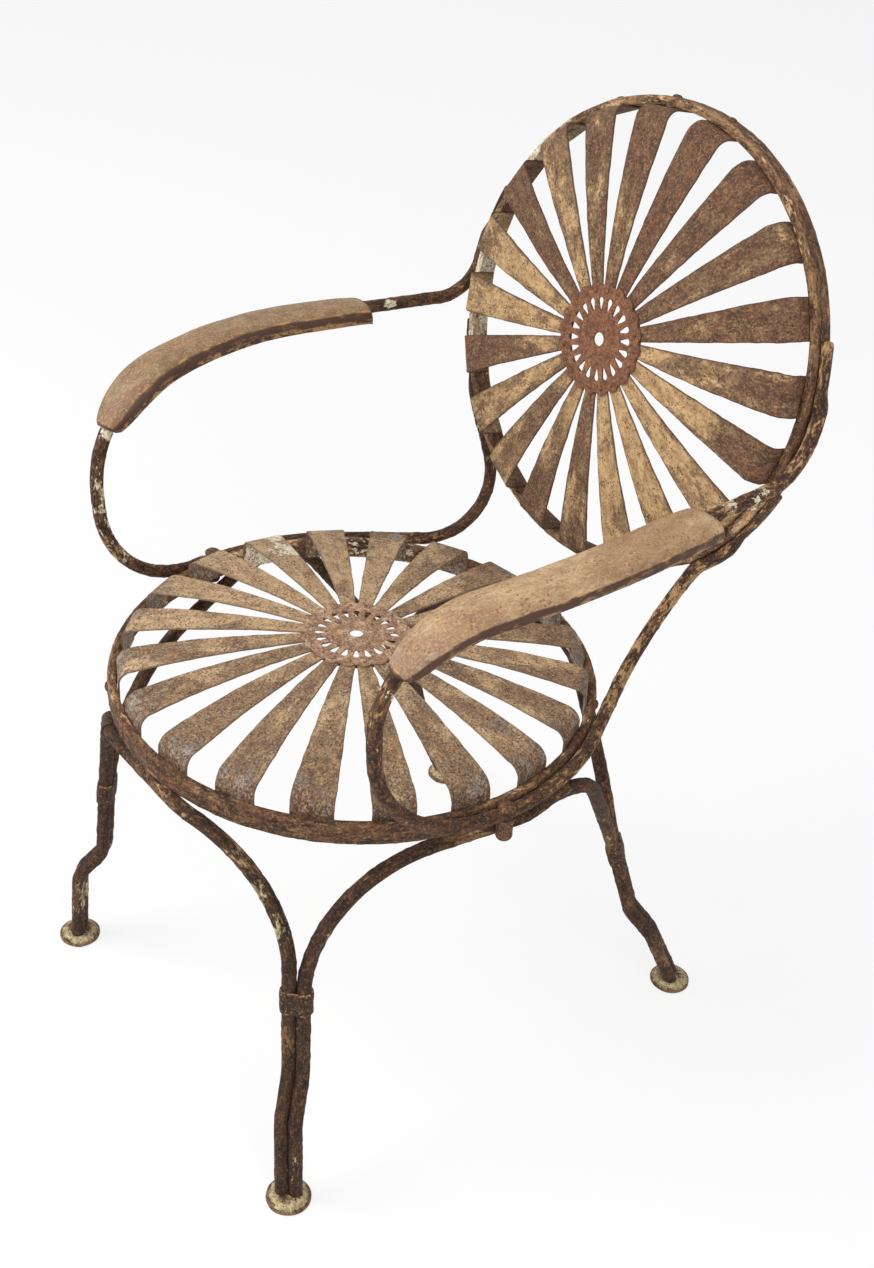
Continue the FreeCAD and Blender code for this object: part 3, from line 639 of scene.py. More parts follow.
class Workshop:
    """Where the chair stands and the finishes already mixed; it also makes the pieces."""

    axis_y = 0.0
    mixed: dict[str, bpy.types.Material] = {}

    @classmethod
    def open(cls) -> None:
        """Finds the seat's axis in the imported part."""
        low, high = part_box("seat_ring")
        cls.axis_y = (low.y + high.y) / 2

    @classmethod
    def placed(cls, point: Vector) -> Vector:
        """A point of the chair's own frame in metres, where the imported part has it."""
        return Vector((point.x * MM, point.y * MM + cls.axis_y, point.z * MM))

    @classmethod
    def finish(cls, finish: WornIron) -> bpy.types.Material:
        """A finish's material, mixed once.

        Args:
            finish: the finish.

        Returns:
            The material.
        """
        if finish.name not in cls.mixed:
            cls.mixed[finish.name] = finish.material()
        return cls.mixed[finish.name]

    @classmethod
    def fit(cls, draft: Draft, node: str, finish: WornIron, slot: str, seed: float) -> None:
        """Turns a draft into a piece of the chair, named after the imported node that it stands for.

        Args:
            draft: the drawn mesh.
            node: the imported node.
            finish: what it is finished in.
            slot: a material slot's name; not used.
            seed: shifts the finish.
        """
        name = node + "_worn"
        mesh = draft.mesh(name, seed)
        mesh.materials.append(cls.finish(finish))
        piece = bpy.data.objects.new(name, mesh)
        bpy.context.scene.collection.objects.link(piece)
        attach(piece, "root")
        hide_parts(node)
        LOG.info("%s: %d points", name, len(mesh.vertices))


def cloud(point: Vector, size: float, seed: float) -> float:
    """Smooth noise from about -1 to 1 with waves of the given size in millimetres."""
    return noise.noise(point / size + Vector((seed, seed * 1.7, -seed)))


def quarter_round(share: float) -> float:
    """Height of a quarter circle, 0 to 1, a share of the way along it; 1 beyond it."""
    return math.sqrt(max(1 - (1 - min(share, 1.0)) ** 2, 0.0))


def uneven(point: Vector, waves: Waves, seed: float) -> float:
    """Height of some waves of unevenness at a point.

    Args:
        point: the point.
        waves: each wave's length and height in millimetres, and how far its seed is from the given one.
        seed: shifts all of them.

    Returns:
        The height in millimetres.
    """
    return sum(cloud(point, size, seed + step) * height for size, height, step in waves)


@dataclass(frozen=True)
class RustScale:
    """The relief of rusty bar in millimetres: low swellings and flat-topped flakes."""

    swellings: Waves = ((26.0, 0.18, 0.0), (9.0, 0.16, 3.0))
    flake_size: float = 7.0
    flake_from: float = 0.18
    flake_to: float = 0.32
    flake_height: float = 0.38
    grit: Waves = ((3.5, 0.10, 5.0),)

    def height(self, point: Vector, seed: float) -> float:
        """Height of the scale at a point.

        Args:
            point: the point.
            seed: shifts the relief.

        Returns:
            The height in millimetres.
        """
        flake = ease(self.flake_from, self.flake_to, cloud(point, self.flake_size, seed + 9))
        return uneven(point, self.swellings + self.grit, seed) + flake * self.flake_height


RUST_SCALE = RustScale()


def near_spots(point: Vector, spots: Sequence[Spot]) -> float:
    """How strongly named spots reach a point.

    Args:
        point: the point.
        spots: each spot's middle, how far it reaches and how strong it is.

    Returns:
        The strongest reach.
    """
    reach = 0.0
    for middle, radius, strength in spots:
        reach = max(reach, strength * (1 - ease(SPOT_CORE * radius, radius, (point - Vector(middle)).length)))
    return reach


def straight(start: Vector, end: Vector, pitch: float) -> list[Vector]:
    """Points from start to end, without the first."""
    count = max(1, round((end - start).length / pitch))
    return [start.lerp(end, (k + 1) / count) for k in range(count)]


def bent_route(first: Vector, bends: Sequence[Corner], last: Vector, pitch: float = 3.2) -> list[Vector]:
    """Middle line of a bar with round bends.

    Args:
        first: where the bar starts.
        bends: each bend's corner and radius.
        last: where the bar ends.
        pitch: distance between points.

    Returns:
        Points along the line.
    """
    corners = [first] + [corner for corner, _ in bends] + [last]
    route = [first]
    for k, (corner, radius) in enumerate(bends):
        back = (corners[k] - corner).normalized()
        ahead = (corners[k + 2] - corner).normalized()
        turn = math.pi - back.angle(ahead)
        centre = corner + (back + ahead).normalized() * (radius / math.cos(turn / 2))
        start = corner + back * (radius * math.tan(turn / 2)) - centre
        tangent = back * -radius
        count = max(2, round(radius * turn / pitch))
        arc = [centre + start * math.cos(a) + tangent * math.sin(a)
               for a in (turn * j / count for j in range(count + 1))]
        route += straight(route[-1], arc[0], pitch) + arc[1:]
    route += straight(route[-1], last, pitch)
    kept = [route[0]]
    for point in route[1:]:
        if (point - kept[-1]).length > 0.4 * pitch:
            kept.append(point)
    return kept


def headings(route: Sequence[Vector]) -> list[Vector]:
    """Direction of the line at each of its points."""
    ends = [route[0], *route, route[-1]]
    return [(ends[k + 2] - ends[k]).normalized() for k in range(len(route))]


def carried(route: Sequence[Vector]) -> list[tuple[Vector, Vector]]:
    """Two directions square to a line at each of its points, carried along it without twisting.

    Args:
        route: the line's points.

    Returns:
        Both directions at each point.
    """
    facing = headings(route)
    side = facing[0].cross(Vector((0.0, 0.0, 1.0)))
    if side.length < 0.3:
        side = facing[0].cross(Vector((0.0, 1.0, 0.0)))
    pairs = []
    for heading in facing:
        side = (side - heading * side.dot(heading)).normalized()
        pairs.append((side, side.cross(heading)))
    return pairs


def rounded_ends(route: Sequence[Vector], radius: float) -> list[tuple[Vector, float]]:
    """Rounds over both ends of a bar.

    Args:
        route: the bar's middle line.
        radius: the bar's radius.

    Returns:
        Points along the line with the share of the radius at each.
    """
    reach = radius * END_ROUNDING
    facing = headings(route)
    shares = [(step, quarter_round(step)) for step in END_STEPS]
    start = [(route[0] + facing[0] * reach * step, share) for step, share in shares]
    end = [(route[-1] - facing[-1] * reach * step, share) for step, share in reversed(shares)]
    clear = reach * 1.3
    body = [(p, 1.0) for p in route if min((p - route[0]).length, (p - route[-1]).length) > clear]
    return start + body + end


def tangents_meet(radius: float, start: float, end: float) -> Vector:
    """Where two tangents of a circle about the Z axis meet.

    Args:
        radius: the circle's radius.
        start: one tangent's angle in degrees.
        end: the other's.

    Returns:
        The place.
    """
    middle, half = math.radians(start + end) / 2, math.radians(end - start) / 2
    reach = radius / math.cos(half)
    return Vector((reach * math.cos(middle), reach * math.sin(middle), 0.0))


def on_circle(radius: float, angle: float) -> Vector:
    """A point on a circle about the Z axis."""
    return Vector((radius * math.cos(math.radians(angle)), radius * math.sin(math.radians(angle)), 0.0))


@dataclass(frozen=True)
class Hammered:
    """A stretch of a bar that is hammered flat against what it is joined to."""

    middle: Vector
    reach: float
    outward: Vector
    thin: float

    def share(self, point: Vector) -> float:
        """How flat the bar is at a point, from 0 to 1."""
        return 1 - ease(0.55 * self.reach, self.reach, (point - self.middle).length)

    def pressed(self, point: Vector, middle: Vector, radius: float) -> Vector:
        """A point of the bar's surface after the blows.

        Args:
            point: the point as it was.
            middle: the bar's middle there.
            radius: the bar's radius.

        Returns:
            The point nearer to what the bar lies on, and a little further to the side.
        """
        share = self.share(middle) * self.thin
        away = self.outward * (point - middle).dot(self.outward)
        spread = (point - middle - away) * (1 + 0.3 * share)
        return middle + spread + away * (1 - share) - self.outward * (radius * share)


def draw_bar(draft: Draft, route: Sequence[Vector], radius: float, seed: float,
             worn: Callable[[Vector], Wear], flats: Sequence[Hammered] = (), rounded: bool = True,
             sides: int = 22) -> None:
    """Draws a round bar with rust scale.

    Args:
        draft: the mesh to draw in.
        route: the bar's middle line.
        radius: the bar's radius.
        seed: shifts the rust scale.
        worn: how the bar is worn at a point.
        flats: where it is hammered flat.
        rounded: whether the ends are rounded over.
        sides: points round the bar.
    """
    stations = rounded_ends(route, radius) if rounded else [(point, 1.0) for point in route]
    line = [point for point, _ in stations]
    rows = []
    run = 0.0
    for k, ((at, share), (side, lift)) in enumerate(zip(stations, carried(line))):
        run += (at - line[k - 1]).length if k else 0.0
        near = [flat for flat in flats if (at - flat.middle).length < flat.reach]
        row = []
        for j in range(sides):
            angle = 2 * math.pi * j / sides
            out = side * math.cos(angle) + lift * math.sin(angle)
            base = at + out * radius
            point = at + out * ((radius + RUST_SCALE.height(base, seed)) * share)
            for flat in near:
                point = flat.pressed(point, at, radius)
            spot = Vector((run, radius * math.cos(angle), radius * math.sin(angle)))
            row.append(draft.add(point, worn(base), spot))
        rows.append(row)
    draft.loft(rows)
    for row, at, outward in ((rows[0], line[0], False), (rows[-1], line[-1], True)):
        for flat in flats:
            at = flat.pressed(at, at, radius)
        draft.cap(row, draft.add(at, worn(at)), outward)


def draw_dome(draft: Draft, at: Vector, axis: Vector, radius: float, height: float, seed: float,
              wear: Wear = Wear(), sides: int = 14) -> None:
    """Draws a rivet's head: a low dome on a short upright edge.

    Args:
        draft: the mesh to draw in.
        at: middle of the head's foot.
        axis: where the head points.
        radius: its radius.
        height: its height.
        seed: shifts how it is worn.
        wear: the wear of all its points.
        sides: points round it.
    """
    side = axis.orthogonal().normalized()
    lift = axis.cross(side).normalized()
    rows = []
    for step in DOME_STEPS:
        reach = radius * math.sqrt(1 - step ** 2)
        level = height * step if step else -DOME_SUNK
        row = []
        for k in range(sides):
            angle = 2 * math.pi * k / sides
            out = side * math.cos(angle) + lift * math.sin(angle)
            swell = 1 + DOME_UNEVEN * cloud(at + out * radius, 3.0, seed)
            row.append(draft.add(at + out * (reach * swell) + axis * level, wear))
        rows.append(row)
    draft.loft(rows)
    draft.cap(rows[-1], draft.add(at + axis * height, wear), True)
    draft.cap(rows[0], draft.add(at - axis * DOME_SUNK, wear), False)


# The chair's sub-assemblies


SMALL_RIVET_WEAR = Wear(0.6, 1.0, 0.3)
BOLT_WEAR = Wear(0.0, 1.0, 0.2)
DROP_ROUND = (-100, -75, -50, -25, 0, 25, 50, 75, 100)
DROP_POINT = (120, 180, 240)
NUT_PROFILE = ((1.0, 1.0), (1.0, 0.0), (0.98, -0.3), (1.0, -0.6), (1.0, -0.86), (0.9, -0.96), (0.6, -1.0))


@dataclass(frozen=True)
class HandWork:
    """How far a spring strip is off true, in millimetres, and over what length."""

    ragged: Waves = ((11.0, 0.5, 0.0), (4.0, 0.28, 2.0))
    ragged_reach: float = 3.0
    wavy: Waves = ((46.0, 0.8, 4.0), (15.0, 0.16, 6.0))
    pitted: Waves = ((5.0, 0.06, 8.0),)
    bow: float = 0.9
    twist: float = 0.025
    held: float = 20.0
    edge_reach: float = 4.5
    rim_reach: tuple[float, float] = (62.0, 22.0)
    tone_reach: tuple[float, float] = (0.15, 0.9)


@dataclass
class SpringPanel:
    """The sprung seat or back: a ring of flat bar, twenty strips that fan out from a pierced rosette.

    Its own frame has the ring's axis as Z and the ring's middle plane at Z = 0.
    """

    name: str
    ring_diameter: float
    rise: float
    centre: Vector
    recline: float
    strip_finish: WornIron
    rosette_finish: WornIron
    tones: tuple[tuple[float, float], ...]
    covered: tuple[tuple[float, float], ...]
    seed: float
    fan_turn: float = 0.0
    ring_tone: float = 0.35
    ring_patches: Waves = ((90.0, 0.4, 0.0),)
    ring_flakes: tuple[Spot, ...] = ()
    strip_flakes: tuple[Spot, ...] = ()
    crusts: tuple[Spot, ...] = ()
    first_angle: float = 12.0
    ring_height: float = 20.0
    ring_thickness: float = 8.0
    ring_steps: int = 400
    ease_depth: float = 2.5
    ease_height: float = 5.0
    inner_nip: float = 0.9
    inside_scale: float = 0.45
    crust_height: float = 1.6
    crust_waves: Waves = ((9.0, 2.2, 6.0), (4.0, 1.2, 7.0))
    rim_waves: Waves = ((30.0, 0.25, 2.0), (5.0, 0.18, 4.0))
    ragged_crust: Waves = ((5.0, 1.6, 4.0),)
    strip_thickness: float = 1.8
    strip_steps: tuple[int, int, int] = (45, 12, 6)
    strip_columns: int = 12
    strip_nip: float = 0.45
    inner_width: float = 13.0
    outer_width: float = 36.0
    flare_short: float = 14.0
    crown_radius: float = 820.0
    turn_radius: float = 14.0
    tail: float = 8.0
    lap: float = 8.0
    rosette_thickness: float = 2.0
    rosette_nip: float = 0.35
    rosette_tone: float = 0.5
    rosette_diameter: float = 93.0
    rivet_circle: float = 87.0
    scallop_radius: float = 6.5
    rosette_bore: float = 12.0
    piercing_circles: tuple[float, float] = (68.0, 52.0)
    piercing_radii: tuple[float, float] = (2.9, 0.8)
    washer_diameters: tuple[float, float] = (92.0, 76.0)
    washer_steps: int = 120
    washer_nip: float = 0.4
    rosette_rivet: tuple[float, float] = (5.2, 1.6)
    rivet_inset: float = 0.6
    scallop_steps: int = 10
    rosette_dish: Waves = ((40.0, 0.25, 0.0),)
    rim_rivet: tuple[float, float] = (9.0, 2.5)
    hand: HandWork = HandWork()

    def __post_init__(self) -> None:
        """Works out the panel's directions and how many strips it has."""
        lean = math.radians(self.recline)
        up = Vector((0.0, math.sin(lean), math.cos(lean))) if self.recline else Vector((0.0, 1.0, 0.0))
        out = Vector((0.0, -math.cos(lean), math.sin(lean))) if self.recline else Vector((0.0, 0.0, 1.0))
        self.axes = Matrix((Vector((1.0, 0.0, 0.0)), up, out)).transposed()
        self.count = len(self.tones)

    def place(self, point: Vector) -> Vector:
        """A point of the panel's frame in the chair's."""
        return self.centre + self.axes @ point

    def turned(self, radius: float, angle: float, height: float = 0.0, across: float = 0.0) -> Vector:
        """A point of the panel's frame.

        Args:
            radius: distance from the axis, along the given direction.
            angle: the direction in degrees.
            height: height along the axis.
            across: distance to the side of that direction.

        Returns:
            The point.
        """
        a = math.radians(angle)
        return Vector((radius * math.cos(a) - across * math.sin(a),
                       radius * math.sin(a) + across * math.cos(a), height))

    def slant(self, number: float) -> float:
        """Direction in degrees of a strip or, half a number further back, of a gap between two."""
        return 360.0 / self.count * (number + 0.5) + self.fan_turn

    def build(self) -> None:
        """Makes every piece of the panel."""
        self.build_ring()
        for k in range(self.count):
            self.build_strip(k)
        self.build_rosette()
        self.build_washer()
        self.build_rim_rivets()

    def ring_section(self) -> list[tuple[float, float]]:
        """Section of the ring, flat inside, its outer corners eased.

        Returns:
            (radius, height) corners all the way round.
        """
        outer, half, nip = self.ring_diameter / 2, self.ring_height / 2, self.inner_nip
        inner = outer - self.ring_thickness
        eased = outer - self.ease_depth
        quarter = [math.pi / 8 * k for k in range(5)]
        upper = [(eased + self.ease_depth * math.cos(a), half - self.ease_height * (1 - math.sin(a)))
                 for a in quarter]
        bridge = [((eased + inner + nip) / 2, half)]
        corner = [(inner + nip * (1 - math.sin(a)), half - nip * (1 - math.cos(a))) for a in quarter[::2]]
        side = [(inner, (half - nip) * k / 3) for k in (2, 1)]
        top = [(outer, (half - self.ease_height) * 0.4)] + upper + bridge + corner + side
        return top + [(inner, 0.0)] + [(r, -z) for r, z in reversed(top)]

    def build_ring(self) -> None:
        """The ring of flat bar."""
        draft, section = Draft(), self.ring_section()
        rows = []
        for k in range(self.ring_steps):
            angle = self.first_angle + 360 / self.ring_steps * k
            rows.append([self.ring_point(draft, angle, *corner) for corner in section][::-1])
        draft.loft(rows, closed=True)
        Workshop.fit(draft, self.name + "_ring", RING_FINISH, "ring_bar", self.seed)

    def ring_point(self, draft: Draft, angle: float, radius: float, height: float) -> int:
        """Adds a point of the ring, with its rust scale and the thick crust of some places.

        Args:
            draft: the mesh to draw in.
            angle: its direction in degrees.
            radius: its distance from the axis before it rusted.
            height: its height along the axis before it rusted.

        Returns:
            The point's number.
        """
        base = self.turned(radius, angle, height)
        outside = radius > (self.ring_diameter - self.ring_thickness) / 2
        lump = near_spots(self.place(base), self.crusts) if outside else 0.0
        crust = RUST_SCALE.height(base, self.seed) * (1.0 if outside else self.inside_scale)
        crust += lump * (self.crust_height + uneven(base, self.crust_waves, self.seed))
        lift = uneven(base, self.rim_waves, self.seed) + lump * uneven(base, self.ragged_crust, self.seed)
        high = height / (self.ring_height / 2)
        placed = self.place(base + self.turned(1, angle) * crust + Vector((0, 0, lift * high)))
        tone = self.ring_tone + uneven(placed, self.ring_patches, self.seed)
        wear = Wear(ease(0.6, 1.0, abs(high)), 0.0, tone, near_spots(placed, self.ring_flakes))
        return draft.add(placed, wear, Vector((math.radians(angle) * self.ring_diameter / 2, radius, height)))

    def profile(self) -> list[tuple[float, float, float, float, float]]:
        """A strip's upper side from the rosette to the ring.

        Returns:
            (radius, height, normal's radius, normal's height, length so far) at each station.
        """
        start = self.rosette_diameter / 2
        inner = self.ring_diameter / 2 - self.ring_thickness
        seat = math.sqrt(inner ** 2 - (self.outer_width / 2) ** 2)
        turn_r = seat - self.turn_radius
        slope = math.asin((turn_r - start) / (self.crown_radius - self.turn_radius))
        crown_z = self.rise - self.crown_radius
        turn_z = crown_z + (self.crown_radius - self.turn_radius) * math.cos(slope)
        line = [(start - self.lap * (1 - k / 3), self.rise, 0.0, 1.0) for k in range(3)]
        on_crown, on_turn, down = self.strip_steps
        crown = [slope * k / on_crown for k in range(on_crown)]
        turn = [slope + (math.pi / 2 - slope) * k / on_turn for k in range(on_turn + 1)]
        for r, z, radius, angles in ((start, crown_z, self.crown_radius, crown),
                                     (turn_r, turn_z, self.turn_radius, turn)):
            line += [(r + radius * math.sin(a), z + radius * math.cos(a), math.sin(a), math.cos(a))
                     for a in angles]
        line += [(seat, turn_z + (-self.tail - turn_z) * k / down, 1.0, 0.0) for k in range(1, down + 1)]
        made, length = [], 0.0
        for k, (r, z, nr, nz) in enumerate(line):
            if k:
                length += math.hypot(r - line[k - 1][0], z - line[k - 1][1])
            made.append((r, z, nr, nz, length))
        return made

    def half_width(self, radius: float) -> float:
        """Half a strip's width.

        Args:
            radius: the distance from the axis.

        Returns:
            Half the width there.
        """
        start, half, wide = self.rosette_diameter / 2, self.inner_width / 2, self.outer_width / 2
        end = self.ring_diameter / 2 - self.ring_thickness - self.flare_short
        if radius < start:
            return half * (radius - 1) / start
        return half + (wide - half) * min((radius - start) / (end - start), 1.0)

    def build_strip(self, index: int) -> None:
        """One spring strip, a little uneven as the hammer and the rust left it.

        Args:
            index: its number, from 0.
        """
        hand, angle = self.hand, self.slant(index)
        luck = random.Random(index * 7 + round(self.seed * 10))
        seed = luck.uniform(0, 40)
        bow, twist = luck.uniform(-hand.bow, hand.bow), luck.uniform(-hand.twist, hand.twist)
        inner_tone, rim_tone = self.tones[index]
        line = self.profile()
        total = line[-1][4]
        bent = total - hand.held
        draft = Draft()
        rows = []
        for r, z, nr, nz, s in line:
            half = self.half_width(r)
            free = math.sin(math.pi * s / bent) if s < bent else 0.0
            rim = ease(total - hand.rim_reach[0], total - hand.rim_reach[1], s)
            tone = inner_tone + (rim_tone - inner_tone) * ease(*hand.tone_reach, s / total)
            row = []
            for across, depth in self.strip_section(half):
                probe = Vector((s, across, seed * 10))
                ragged = uneven(probe, hand.ragged, seed) * ease(half - hand.ragged_reach, half, abs(across))
                up = (uneven(probe, hand.wavy, seed) + twist * across) * free
                up += uneven(probe, hand.pitted, seed) - depth
                side = across * (1 + ragged / half) + bow * free
                placed = self.place(self.turned(r + nr * up, angle, z + nz * up, side))
                wear = Wear(ease(hand.edge_reach, 0.0, half - abs(across)), rim, tone,
                            near_spots(placed, self.strip_flakes))
                row.append(draft.add(placed, wear, Vector((s, across, depth))))
            rows.append(row)
        draft.loft(rows)
        draft.faces += [tuple(rows[0][::-1]), tuple(rows[-1])]
        node = f"{self.name}_strip_{index + 1:02d}"
        Workshop.fit(draft, node, self.strip_finish, self.name + "_strips", seed + 3 * index)

    def strip_section(self, half: float) -> list[tuple[float, float]]:
        """A strip's section, its edges slightly rounded.

        Args:
            half: half its width.

        Returns:
            (across, depth) points all the way round.
        """
        nip, thick, last = self.strip_nip, self.strip_thickness, self.strip_columns - 1
        top = [(half - nip - 2 * (half - nip) * k / last, 0.0) for k in range(last + 1)]
        side = [(-half, nip), (-half, thick - nip)]
        low = [(-across, thick) for across, _ in top]
        return top + side + low + [(-across, thick - depth) for across, depth in side]

    def build_rosette(self) -> None:
        """The pierced and scalloped plate with its rivets."""
        loops = [self.scallops()] + [self.drop(k) for k in range(self.count)] + [self.bore()]
        plate = bpy.data.curves.new("rosette_outline", "CURVE")
        plate.dimensions = "2D"
        plate.fill_mode = "BOTH"
        plate.extrude = self.rosette_thickness / 2 - self.rosette_nip
        plate.bevel_depth = self.rosette_nip
        plate.bevel_resolution = 1
        plate.offset = -self.rosette_nip
        for loop in loops:
            spline = plate.splines.new("POLY")
            spline.points.add(len(loop) - 1)
            spline.use_cyclic_u = True
            for at, point in zip(spline.points, loop):
                at.co = (point.x, point.y, 0.0, 1.0)
        holder = bpy.data.objects.new("rosette_outline", plate)
        flat = bpy.data.meshes.new_from_object(holder)
        draft = Draft()
        middle = self.rise + self.rosette_thickness / 2
        for vertex in flat.vertices:
            lift = Vector((0, 0, middle + uneven(vertex.co, self.rosette_dish, self.seed)))
            reach = vertex.co.length / (self.rosette_diameter / 2)
            draft.add(self.place(vertex.co + lift), Wear(ease(0.96, 1.08, reach), 0.0, self.rosette_tone))
        draft.faces = [tuple(face.vertices) for face in flat.polygons]
        bpy.data.objects.remove(holder)
        self.add_rosette_rivets(draft)
        Workshop.fit(draft, self.name + "_rosette", self.rosette_finish, "rosette", self.seed)

    def add_rosette_rivets(self, draft: Draft) -> None:
        """Small heads that hold the strips to the rosette.

        Args:
            draft: the rosette's mesh.
        """
        radius, height = self.rosette_rivet[0] / 2, self.rosette_rivet[1]
        for k in range(self.count):
            at = self.turned(self.rivet_circle / 2 - self.rivet_inset, self.slant(k),
                             self.rise + self.rosette_thickness)
            draw_dome(draft, self.place(at), self.axes @ Vector((0, 0, 1)), radius, height, self.seed + k,
                      SMALL_RIVET_WEAR)

    def scallops(self) -> list[Vector]:
        """Outline of the rosette, a scallop round each rivet.

        Returns:
            Points round it.
        """
        body, rivets, steps = self.rosette_diameter / 2, self.rivet_circle / 2, self.scallop_steps
        cosine = (body ** 2 + rivets ** 2 - self.scallop_radius ** 2) / (2 * body * rivets)
        valley = math.acos(cosine)
        reach = math.atan2(body * math.sin(valley), body * cosine - rivets)
        outline = []
        for k in range(self.count):
            for j in range(steps):
                a = reach * (2 * (j + 0.5) / steps - 1)
                out = rivets + self.scallop_radius * math.cos(a)
                outline.append(self.turned(out, self.slant(k), across=self.scallop_radius * math.sin(a)))
        return outline

    def drop(self, index: int) -> list[Vector]:
        """Outline of one drop-shaped hole, round outside and narrow towards the centre.

        Args:
            index: its number, from 0.

        Returns:
            Points round it.
        """
        (outer, inner), (big, small) = self.piercing_circles, self.piercing_radii
        ends = [(outer / 2, on_circle(big, angle)) for angle in DROP_ROUND]
        ends += [(inner / 2, on_circle(small, angle)) for angle in DROP_POINT]
        return [self.turned(at + out.x, self.slant(index - 0.5), across=out.y) for at, out in ends]

    def bore(self) -> list[Vector]:
        """Outline of the hole in the middle."""
        return [self.turned(self.rosette_bore / 2, 15.0 * k) for k in range(24)]

    def build_washer(self) -> None:
        """The plain washer behind the strips."""
        outer, inner = (diameter / 2 for diameter in self.washer_diameters)
        top, nip = self.rise - self.strip_thickness, self.washer_nip
        half = [(outer - nip, 0.0), (outer, nip), (inner, nip), (inner + nip, 0.0)]
        low = [(r, self.rosette_thickness - depth) for r, depth in half]
        section = half[:2] + [low[1], low[0], low[3], low[2]] + half[2:]
        draft = Draft()
        rows = [[draft.add(self.place(self.turned(r, 360 / self.washer_steps * k, top - depth)))
                 for r, depth in section] for k in range(self.washer_steps)]
        draft.loft(rows, closed=True)
        Workshop.fit(draft, self.name + "_rosette_washer", RIVET_FINISH, "washer", self.seed)

    def build_rim_rivets(self) -> None:
        """Low heads outside the ring, one at each strip where no arm bar covers it."""
        draft = Draft()
        radius, height = self.rim_rivet[0] / 2, self.rim_rivet[1]
        for k in range(self.count):
            out = self.turned(1, self.slant(k))
            slant = math.degrees(math.atan2(out.y, abs(out.x)))
            if not any(low < slant < high for low, high in self.covered):
                draw_dome(draft, self.place(out * (self.ring_diameter / 2)), self.axes @ out, radius, height,
                          self.seed + k)
        Workshop.fit(draft, self.name + "_rim_rivets", RIVET_FINISH, "rivet", self.seed)


@dataclass
class Frame:
    """What the legs and the arms share: the bar, the rings they lie against and how places are measured.

    A place is how far out beyond the seat ring's side, how far beyond its front or its rear, and the
    height from the seat ring's middle or, below the collars, from the floor.
    """

    seat: SpringPanel
    back: SpringPanel
    bar_diameter: float = 12.0
    clearance: float = 0.3
    arm_lift: float = 4.0

    @property
    def bar_radius(self) -> float:
        """Half the bar's diameter."""
        return self.bar_diameter / 2

    @property
    def seat_z(self) -> float:
        """Height of the seat ring's middle."""
        return self.seat.centre.z

    @property
    def beside_seat(self) -> float:
        """Distance from the seat's axis of a bar that lies round the seat ring."""
        return self.seat.ring_diameter / 2 + self.bar_radius + self.clearance

    @property
    def beside_back(self) -> float:
        """Distance from the back's axis of a bar that lies round the back ring."""
        return self.back.ring_diameter / 2 + self.bar_radius + self.clearance

    def at(self, end: End, out: float, beyond: float, height: float) -> Vector:
        """A place measured from the seat ring's side and its front or its rear."""
        radius = self.seat.ring_diameter / 2
        return Vector((radius + out, end.value * (radius + beyond), height))

    def of_ring(self, end: End, place: Place) -> Vector:
        """A place whose height is measured from the seat ring's middle."""
        return self.at(end, place[0], place[1], self.seat_z + place[2])


class Station(NamedTuple):
    """A place along an arm pad: the bar's middle and direction there, and how far it is from both ends."""

    at: Vector
    heading: Vector
    to_front: float
    to_rear: float


